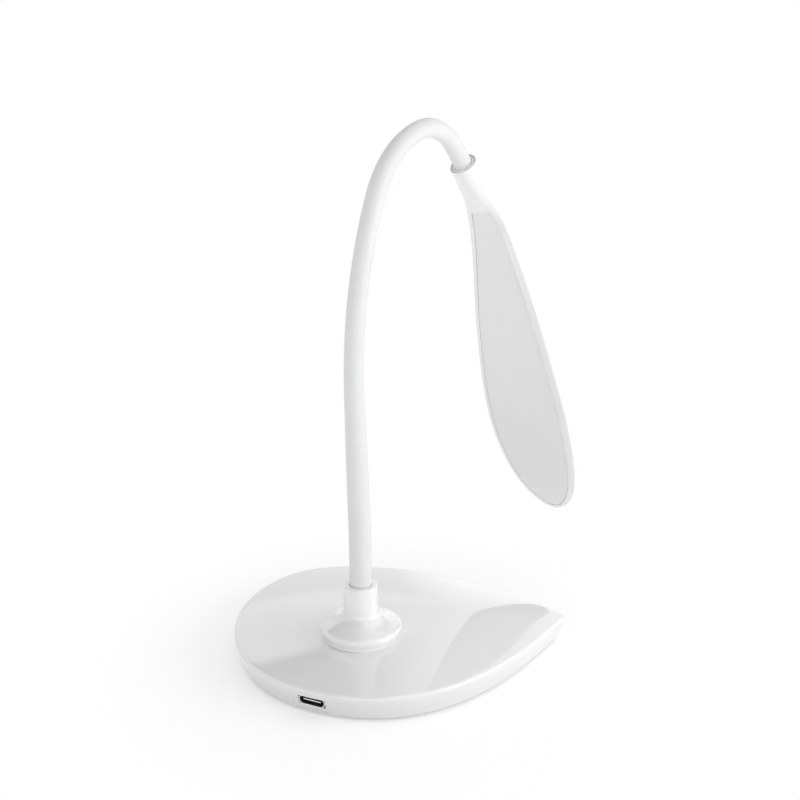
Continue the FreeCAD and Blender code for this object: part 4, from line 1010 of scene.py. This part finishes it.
class LEAFLAMP_OT_socket(bpy.types.Operator):
    """Adds a black cup of painted shade inside the charging socket's shell, and the bright edge of its contacts"""

    bl_idname = "leaf_lamp.socket"
    bl_label = "Charging socket"

    def execute(self, context):
        base = context.scene.leaf_lamp_base
        facing = base.port_azimuth
        self.outward = Vector((math.cos(facing), math.sin(facing), 0))
        self.across = Vector((-self.outward.y, self.outward.x, 0))
        mouth = self.reach("usb_c_shell", base.socket_width)
        half, radius = base.painted_shade_width / 2, base.painted_shade_height / 2
        floor = mouth - base.painted_shade_depth
        wall = base.painted_shade_wall
        wide = stadium(half, radius, PAINTED_SHADE_END_POINTS)
        narrow = stadium(half - wall, radius - wall, PAINTED_SHADE_END_POINTS)
        lip = mouth - base.painted_shade_start
        points, faces = self.cup([(lip, wide), (floor, wide), (floor + wall, narrow), (lip, narrow)])
        # The cup takes the black of the lead's jacket to paint the shade inside the socket
        dark = FINISHES["lead_jacket"]
        painted_shade_cup = piece_from("socket_lining", points, faces, dark, "black_plastic", SHARP_TURN)
        tongue = self.reach("usb_c_tongue", base.tongue_width)
        edge = stadium(base.contact_width / 2, base.contact_thickness / 2, CONTACT_END_POINTS)
        rings = self.placed([(tongue - base.contact_length, edge), (tongue + base.contact_lead, edge)])
        steel = FINISHES["contact_steel"]
        contacts = piece_from("socket_contacts", *flat_ended(rings), steel, "bright_steel", SHARP_TURN)
        for piece in (painted_shade_cup, contacts):
            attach(piece, "base")
        return {"FINISHED"}

    def reach(self, node, width):
        """How far a node of that width reaches out, from the tongue's middle."""
        low, high = (Vector(corner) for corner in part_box(node))
        inner, outer = (Vector(corner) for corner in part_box("usb_c_tongue"))
        self.middle = (inner + outer) / 2
        half = (high - low) / 2
        stretch = abs(self.outward.x) * half.x + abs(self.outward.y) * half.y
        skew = width * abs(self.outward.x * self.outward.y)
        return ((high + low) / 2 - self.middle).dot(self.outward) + stretch - skew

    def placed(self, rings):
        """Flat rings, each given with its reach outwards, set in the base's side."""
        up = Vector((0, 0, 1))
        return [
            [self.middle + self.outward * out + self.across * x + up * y for x, y in ring]
            for out, ring in rings
        ]

    def cup(self, rings):
        """Vertices and faces of a cup: outer lip, outer floor, inner floor and inner lip."""
        rings = self.placed(rings)
        around = len(rings[0])
        wall = ring_faces(2, around)
        faces = wall + [tuple(range(around, 2 * around)), tuple(range(2 * around, 3 * around))]
        faces += [tuple(v + 2 * around for v in face) for face in wall]
        outer, inner = 0, 3 * around
        for j in range(around):
            k = (j + 1) % around
            faces.append((outer + j, outer + k, inner + k, inner + j))
        return [place for ring in rings for place in ring], faces


# Head

# How far out the front's inner poles stand where the front is flat, as a share of the half width
FLAT_POLE_SHARE = 0.55
BACK_STEPS = 22
FRONT_STEPS = 24
CORNER_STEPS = 4
LINE_SAMPLES = 600
HEAD_ROWS = 130
# Root of the tip's share that the last row leaves out, where the head closes to a point
LAST_ROW = 0.003


class Head:
    """The head's centre line and sections, made once from its settings."""

    def __init__(self, head):
        self.head = head
        neck = bpy.context.scene.leaf_lamp_neck
        ring, heading = route_state(route_length() - neck.socket_entry)
        along = np.array(route_direction(heading))
        aside = np.array(in_arch_plane(math.sin(heading), -math.cos(heading)))
        places = [np.array(ring)]
        places += [np.array(ring) + (along * a - aside * b) * head.head_length for a, b in HEAD_LINE_SHARES]
        lengths = np.linalg.norm(np.diff(places, axis=0), axis=1)
        line = SmoothCurve(np.concatenate(([0], np.cumsum(lengths))), places, first=along)
        samples = np.linspace(0, line.end, LINE_SAMPLES)
        points = line.at(samples)[0]
        run = np.concatenate(([0], np.cumsum(np.linalg.norm(np.diff(points, axis=0), axis=1))))
        self.parameter_of = lambda share: np.interp(share * run[-1], run, samples)
        self.line = line
        self.level = np.array(in_arch_plane(1, 0)) @ np.array([[0, -1, 0], [1, 0, 0], [0, 0, 0]])
        table = np.array(HEAD_SECTION_SHARES)
        self.sections = SmoothCurve(-np.sqrt(1 - table[:, 0]), table[:, 1:])

    def frame(self, share):
        """On the head's front centre line: the place, the way across and the way to the back."""
        point, slope = self.line.at(np.array([self.parameter_of(share)]))
        along = slope[0] / np.linalg.norm(slope[0])
        level = self.level
        back = np.cross(level, along)
        if back @ np.array(in_arch_plane(1, 0)) < 0:
            back = -back
        roll = self.head.roll
        across = level * math.cos(roll) + back * math.sin(roll)
        rear = np.cross(across, along)
        if rear @ back < 0:
            rear = -rear
        return point[0], across, rear

    def values(self, share):
        """Half width, front bulge, depth and squareness at a share of the head's length."""
        width, bulge, depth, squareness = self.sections.at(np.array([-math.sqrt(max(1 - share, 0))]))[0][0]
        head = self.head
        return max(width, 0) * head.half_width, bulge * head.socket_radius, depth * head.depth, squareness

    def section(self, share):
        """A closed ring of points round the head, with its two long edges rounded off."""
        point, across, rear = self.frame(share)
        width, bulge, depth, squareness = self.values(share)
        round_off = min(self.head.edge_round, width / 4, depth / 4)
        rise, reach = squareness * depth, squareness * width
        start = round_off / (3 * max(rise, round_off))
        quarter = np.array([(width, 0), (width, rise), (reach, depth), (0, depth)])
        right = bezier(quarter, np.linspace(start, 1, BACK_STEPS + 1))
        left = right[::-1][1:] * (-1, 1)
        roundness = min(bulge / max(width, MM), 1)
        out = width * (FLAT_POLE_SHARE + (1 - FLAT_POLE_SHARE) * roundness)
        sink = -4 / 3 * bulge
        front = np.array([(-width, 0), (-out, sink), (out, sink), (width, 0)])
        trim = (1 - roundness) * round_off / max(3 * (width - out), 3 * round_off) + roundness * start
        front = bezier(front, np.linspace(trim, 1 - trim, FRONT_STEPS + 1))
        shares = np.linspace(0, 1, CORNER_STEPS + 1)[1:-1]
        corner_left = bezier(np.array([left[-1], (-width, 0), front[0]]), shares)
        corner_right = bezier(np.array([front[-1], (width, 0), right[0]]), shares)
        outline = np.vstack((right, left, corner_left, front, corner_right))
        return point + outline[:, :1] * across + outline[:, 1:] * rear


def bezier(poles, t):
    """Points of the curve that a few poles draw."""
    t = np.asarray(t)[:, None]
    if len(poles) == 3:
        return (1 - t) ** 2 * poles[0] + 2 * t * (1 - t) * poles[1] + t**2 * poles[2]
    a, b, c, d = poles
    return (1 - t) ** 3 * a + 3 * t * (1 - t) ** 2 * b + 3 * t**2 * (1 - t) * c + t**3 * d


def head_shares():
    """Places along the head, closer together towards its rounded tip."""
    return [1 - max(1 - i / HEAD_ROWS, LAST_ROW) ** 2 for i in range(HEAD_ROWS + 1)]


OPENING_ROWS = 90
# How much squarer than a circle the diffuser's rounded end is
NOSE_FULLNESS = 1.35
STRIP_STEPS = 12
LEAST_WIDTH = 0.02 * MM


def opening_rows(head, inset, end_inset):
    """Place, half width and shift of the diffuser's opening, closer together towards its rounded end."""
    size = head.head
    start = size.diffuser_start / size.head_length
    end = 1 - (size.bezel + end_inset) / size.head_length
    wide = (size.bezel_far - size.bezel) / 2
    rows = []
    for i in range(OPENING_ROWS + 1):
        share = start + (end - start) * math.sin(math.radians(90) * i / OPENING_ROWS)
        width = head.values(share)[0] - inset - wide
        left = (end - share) * size.head_length
        nose = size.half_width / 2
        if left < nose:
            width = min(width, math.sqrt(max(left * (2 * nose - left), 0)) * NOSE_FULLNESS)
        shift = wide * min(max(width, 0.0) / (size.half_width / 2), 1)
        rows.append((share, max(width, 0.0), shift))
    return rows


def strip(head, rows, low, high):
    """A strip of sections between two depths behind the head's front centre line."""
    rings = []
    for share, width, shift in rows:
        point, across, rear = head.frame(share)
        point = point - across * shift
        width = max(width, LEAST_WIDTH)
        sides = np.linspace(-1, 1, STRIP_STEPS + 1)
        front = [(width * s, low) for s in sides]
        back = [(width * s, high) for s in sides[::-1]]
        rings.append(np.array([point + across * a + rear * b for a, b in front + back]))
    return flat_ended(rings)


def cut_from(target, points, faces):
    """Cuts a solid given by points and faces out of a piece."""
    tool = piece_from("cutter", points, faces, target.data.materials[0])
    change = target.modifiers.new("cut", "BOOLEAN")
    change.operation = "DIFFERENCE"
    change.solver = "EXACT"
    change.object = tool
    held = bpy.context.evaluated_depsgraph_get()
    mesh = bpy.data.meshes.new_from_object(target.evaluated_get(held))
    target.modifiers.clear()
    target.data = mesh
    bpy.data.objects.remove(tool)


RING_TURNS_DEG = (0, 30, 60)
# How far in front of the head the cutter for the diffuser's seat starts
CUT_OVERRUN = 3 * MM


class LEAFLAMP_OT_head_shell(bpy.types.Operator):
    """Makes the head's glossy rear shell with its ring and the seat of the diffuser"""

    bl_idname = "leaf_lamp.head_shell"
    bl_label = "Head shell"

    def execute(self, context):
        size = context.scene.leaf_lamp_head
        head = Head(size)
        rings = [head.section(share) for share in head_shares()]
        rings = self.mouth(head, rings[0]) + rings
        shell = piece_from("head_shell", *flat_ended(rings), FINISHES["shell_white"], "shell_white")
        rows = opening_rows(head, size.bezel, 0.0)
        depth = size.diffuser_sink + size.diffuser_thickness
        cut_from(shell, *strip(head, rows, -CUT_OVERRUN, depth))
        shell.data.set_sharp_from_angle(angle=HEAD_SHARP_TURN)
        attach(shell, "head")
        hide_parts("head_rear_shell")
        return {"FINISHED"}

    def mouth(self, head, first):
        """Rings from the bottom of the ring's bore out over its rounded rim."""
        size = head.head
        point, across, rear = head.frame(0.0)
        along = np.cross(across, rear)
        if along[2] > 0:
            along = -along
        rays = first - point
        rays = rays / np.linalg.norm(rays, axis=1)[:, None]
        small, groove, skirt = size.socket_round, size.groove_depth, size.sleeve_seat
        inner, outer = size.socket_bore, size.socket_radius - size.rim_wall
        rings = [point + rays * inner + along * size.socket_depth]
        for reach, depth in (
            (inner, 3 * groove),
            (skirt, 2 * groove),
            (skirt, 2 * small),
            (skirt + small, small),
            (inner - small, small),
            (inner, 2 * small),
            (inner + small, groove),
            (outer - small, groove),
            (outer, groove - small),
            (outer, small),
        ):
            rings.append(point + rays * reach + along * depth)
        for turn in np.radians(RING_TURNS_DEG):
            reach = size.socket_radius - small * (1 - math.sin(turn))
            rings.append(point + rays * reach + along * small * (1 - math.cos(turn)))
        return rings


class LEAFLAMP_OT_diffuser(bpy.types.Operator):
    """Makes the opal panel on the head's underside"""

    bl_idname = "leaf_lamp.diffuser"
    bl_label = "Diffuser"

    def execute(self, context):
        size = context.scene.leaf_lamp_head
        head = Head(size)
        clear = size.diffuser_clearance
        rows = opening_rows(head, size.bezel + clear, clear)
        rows[0] = (rows[0][0] + clear / size.head_length, *rows[0][1:])
        low = size.diffuser_sink
        points, faces = strip(head, rows, low, low + size.diffuser_thickness - clear)
        opal = FINISHES["diffuser_grey"]
        panel = piece_from("diffuser_panel", points, faces, opal, "diffuser_grey", SHARP_TURN)
        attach(panel, "head")
        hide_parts("diffuser")
        return {"FINISHED"}


# Stage

# The wall that the gloss mirrors: rise over the table as a sine, and brightness
WALL_STEPS = [(0.0, 0.80), (0.30, 0.80), (0.33, 1.0), (0.58, 1.0), (0.62, 0.14), (1.0, 0.14)]
# The bright side on the right: from and to which reach to the right, and its brightness there
SIDE_WALL = {"From Min": -0.10, "From Max": 0.22, "To Min": 0.14, "To Max": 1.1}
FLOOR_GREY = (0.8, 0.8, 0.8)
LIGHT_TARGET = (0.02, 0.02, 0.07)
# Name, setting of its power, width and height, place
SOFTBOXES = [
    ("key_softbox", "key_power", (0.5, 0.4), (0.56, -0.20, 0.16)),
    ("fill_softbox", "fill_power", (0.9, 0.6), (-0.2, -1.2, 0.16)),
    ("top_softbox", "top_power", (0.8, 0.8), (0.45, 0.25, 1.0)),
]


class LEAFLAMP_OT_stage(bpy.types.Operator):
    """Sets the pale floor, the soft lights and the camera"""

    bl_idname = "leaf_lamp.stage"
    bl_label = "Stage"

    def execute(self, context):
        stage = context.scene.leaf_lamp_stage
        self.add_floor(stage)
        self.add_world(context, stage)
        for name, power, size, place in SOFTBOXES:
            self.add_softbox(context, name, getattr(stage, power), size, place)
        self.add_camera(context, stage)
        context.scene.view_settings.view_transform = "Standard"
        return {"FINISHED"}

    def add_floor(self, stage):
        """A matt floor that takes the shadow near the lamp and fades to plain white away from it."""
        half = stage.stage_size / 2
        corners = [(-half, -half, 0), (half, -half, 0), (half, half, 0), (-half, half, 0)]
        material, tree, shader = new_material("pale_floor")
        color = tree.tinted(tree.noise(0.02, 2, 0.5), FLOOR_GREY, 0.003)
        tree.put(shader, {"Base Color": color, "Roughness": 0.9, "Specular IOR Level": 0.0})
        path = tree.add("LightPath").outputs
        seen = tree.math("MAXIMUM", path["Is Camera Ray"], path["Is Glossy Ray"])
        strength = tree.math("MULTIPLY", seen, stage.floor_glow)
        glow = tree.add("Emission", {"Color": WHITE, "Strength": strength})
        near = tree.add("AddShader", {0: shader.outputs["BSDF"], 1: glow.outputs["Emission"]})
        far = tree.add("Emission", {"Color": WHITE})
        place = tree.add("TexCoord").outputs["Object"]
        reach = tree.add("VectorMath", {0: place, 1: stage.center}, operation="DISTANCE")
        span = {"Value": reach.outputs["Value"], "From Min": stage.fade_start, "From Max": stage.fade_end}
        fade = tree.add("MapRange", span, interpolation_type="SMOOTHSTEP")
        parts = {"Fac": fade.outputs["Result"], 1: near.outputs["Shader"], 2: far.outputs["Emission"]}
        tree.put(tree.output, {"Surface": tree.add("MixShader", parts).outputs["Shader"]})
        piece_from("stage_floor", corners, [(0, 1, 2, 3)], material)

    def add_world(self, context, stage):
        """White to the camera, a bright low wall under a darker ceiling to reflections, and even light."""
        world = bpy.data.worlds.new("stage_surround")
        context.scene.world = world
        tree = NodeTree(world)
        way = tree.add("TexCoord").outputs["Generated"]
        reach = tree.add("SeparateXYZ", {0: way}).outputs
        wall = tree.steps(reach["Z"], [(rise, (level,) * 3) for rise, level in WALL_STEPS])
        side = tree.add("MapRange", {"Value": reach["X"], **SIDE_WALL}, interpolation_type="SMOOTHSTEP")
        brighter = tree.math("MAXIMUM", wall, side.outputs["Result"])
        levels = (stage.world_level, tree.math("MULTIPLY", brighter, stage.wall_glow), 1.0)
        glows = [tree.add("Background", {"Color": WHITE, "Strength": level}) for level in levels]
        even, mirrored, white = (glow.outputs["Background"] for glow in glows)
        path = tree.add("LightPath").outputs
        light = tree.add("MixShader", {"Fac": path["Is Glossy Ray"], 1: even, 2: mirrored})
        seen = tree.add("MixShader", {"Fac": path["Is Camera Ray"], 1: light.outputs["Shader"], 2: white})
        tree.add("OutputWorld", {"Surface": seen.outputs["Shader"]})

    def add_softbox(self, context, name, power, size, place):
        light = bpy.data.lights.new(name, "AREA")
        light.shape = "RECTANGLE"
        light.size, light.size_y = size
        light.energy = power
        lamp = bpy.data.objects.new(name, light)
        lamp.location = place
        away = Vector(place) - Vector(LIGHT_TARGET)
        lamp.rotation_euler = away.to_track_quat("Z", "Y").to_euler()
        context.scene.collection.objects.link(lamp)

    def add_camera(self, context, stage):
        data = bpy.data.cameras.new("photo_camera")
        data.lens = stage.camera_lens
        data.sensor_width = 36.0
        data.sensor_fit = "HORIZONTAL"
        data.clip_start = 0.01
        camera = bpy.data.objects.new("photo_camera", data)
        camera.location = stage.camera_place
        camera.rotation_euler = (math.radians(90) - stage.camera_pitch, 0.0, -stage.camera_turn)
        context.scene.collection.objects.link(camera)
        context.scene.camera = camera


OPERATORS = (
    LEAFLAMP_OT_finishes,
    LEAFLAMP_OT_cover,
    LEAFLAMP_OT_collar,
    LEAFLAMP_OT_socket,
    LEAFLAMP_OT_sleeve,
    LEAFLAMP_OT_lead,
    LEAFLAMP_OT_head_shell,
    LEAFLAMP_OT_diffuser,
    LEAFLAMP_OT_stage,
)


class LEAFLAMP_PT_panel(bpy.types.Panel):
    """Lists the lamp's sizes, finishes and making steps"""

    bl_idname = "LEAFLAMP_PT_panel"
    bl_label = "Leaf Desk Lamp"
    bl_space_type = "VIEW_3D"
    bl_region_type = "UI"
    bl_category = "Leaf Lamp"

    def draw(self, context):
        layout = self.layout
        for operator in OPERATORS:
            layout.operator(operator.bl_idname)
        for name, group in SETTINGS.items():
            section = layout.box()
            for setting in group.__annotations__:
                section.prop(getattr(context.scene, name), setting)


def register():
    for group in SETTINGS.values():
        bpy.utils.register_class(group)
    for name, group in SETTINGS.items():
        setattr(bpy.types.Scene, name, PointerProperty(type=group))
    for operator in OPERATORS:
        bpy.utils.register_class(operator)
    bpy.utils.register_class(LEAFLAMP_PT_panel)


def unregister():
    bpy.utils.unregister_class(LEAFLAMP_PT_panel)
    for operator in reversed(OPERATORS):
        bpy.utils.unregister_class(operator)
    for name in SETTINGS:
        delattr(bpy.types.Scene, name)
    for group in reversed(list(SETTINGS.values())):
        bpy.utils.unregister_class(group)


def main():
    register()
    bpy.ops.leaf_lamp.finishes()
    bpy.ops.leaf_lamp.cover()
    bpy.ops.leaf_lamp.collar()
    bpy.ops.leaf_lamp.socket()
    bpy.ops.leaf_lamp.sleeve()
    bpy.ops.leaf_lamp.lead()
    bpy.ops.leaf_lamp.head_shell()
    bpy.ops.leaf_lamp.diffuser()
    bpy.ops.leaf_lamp.stage()


if __name__ == "__main__":
    main()
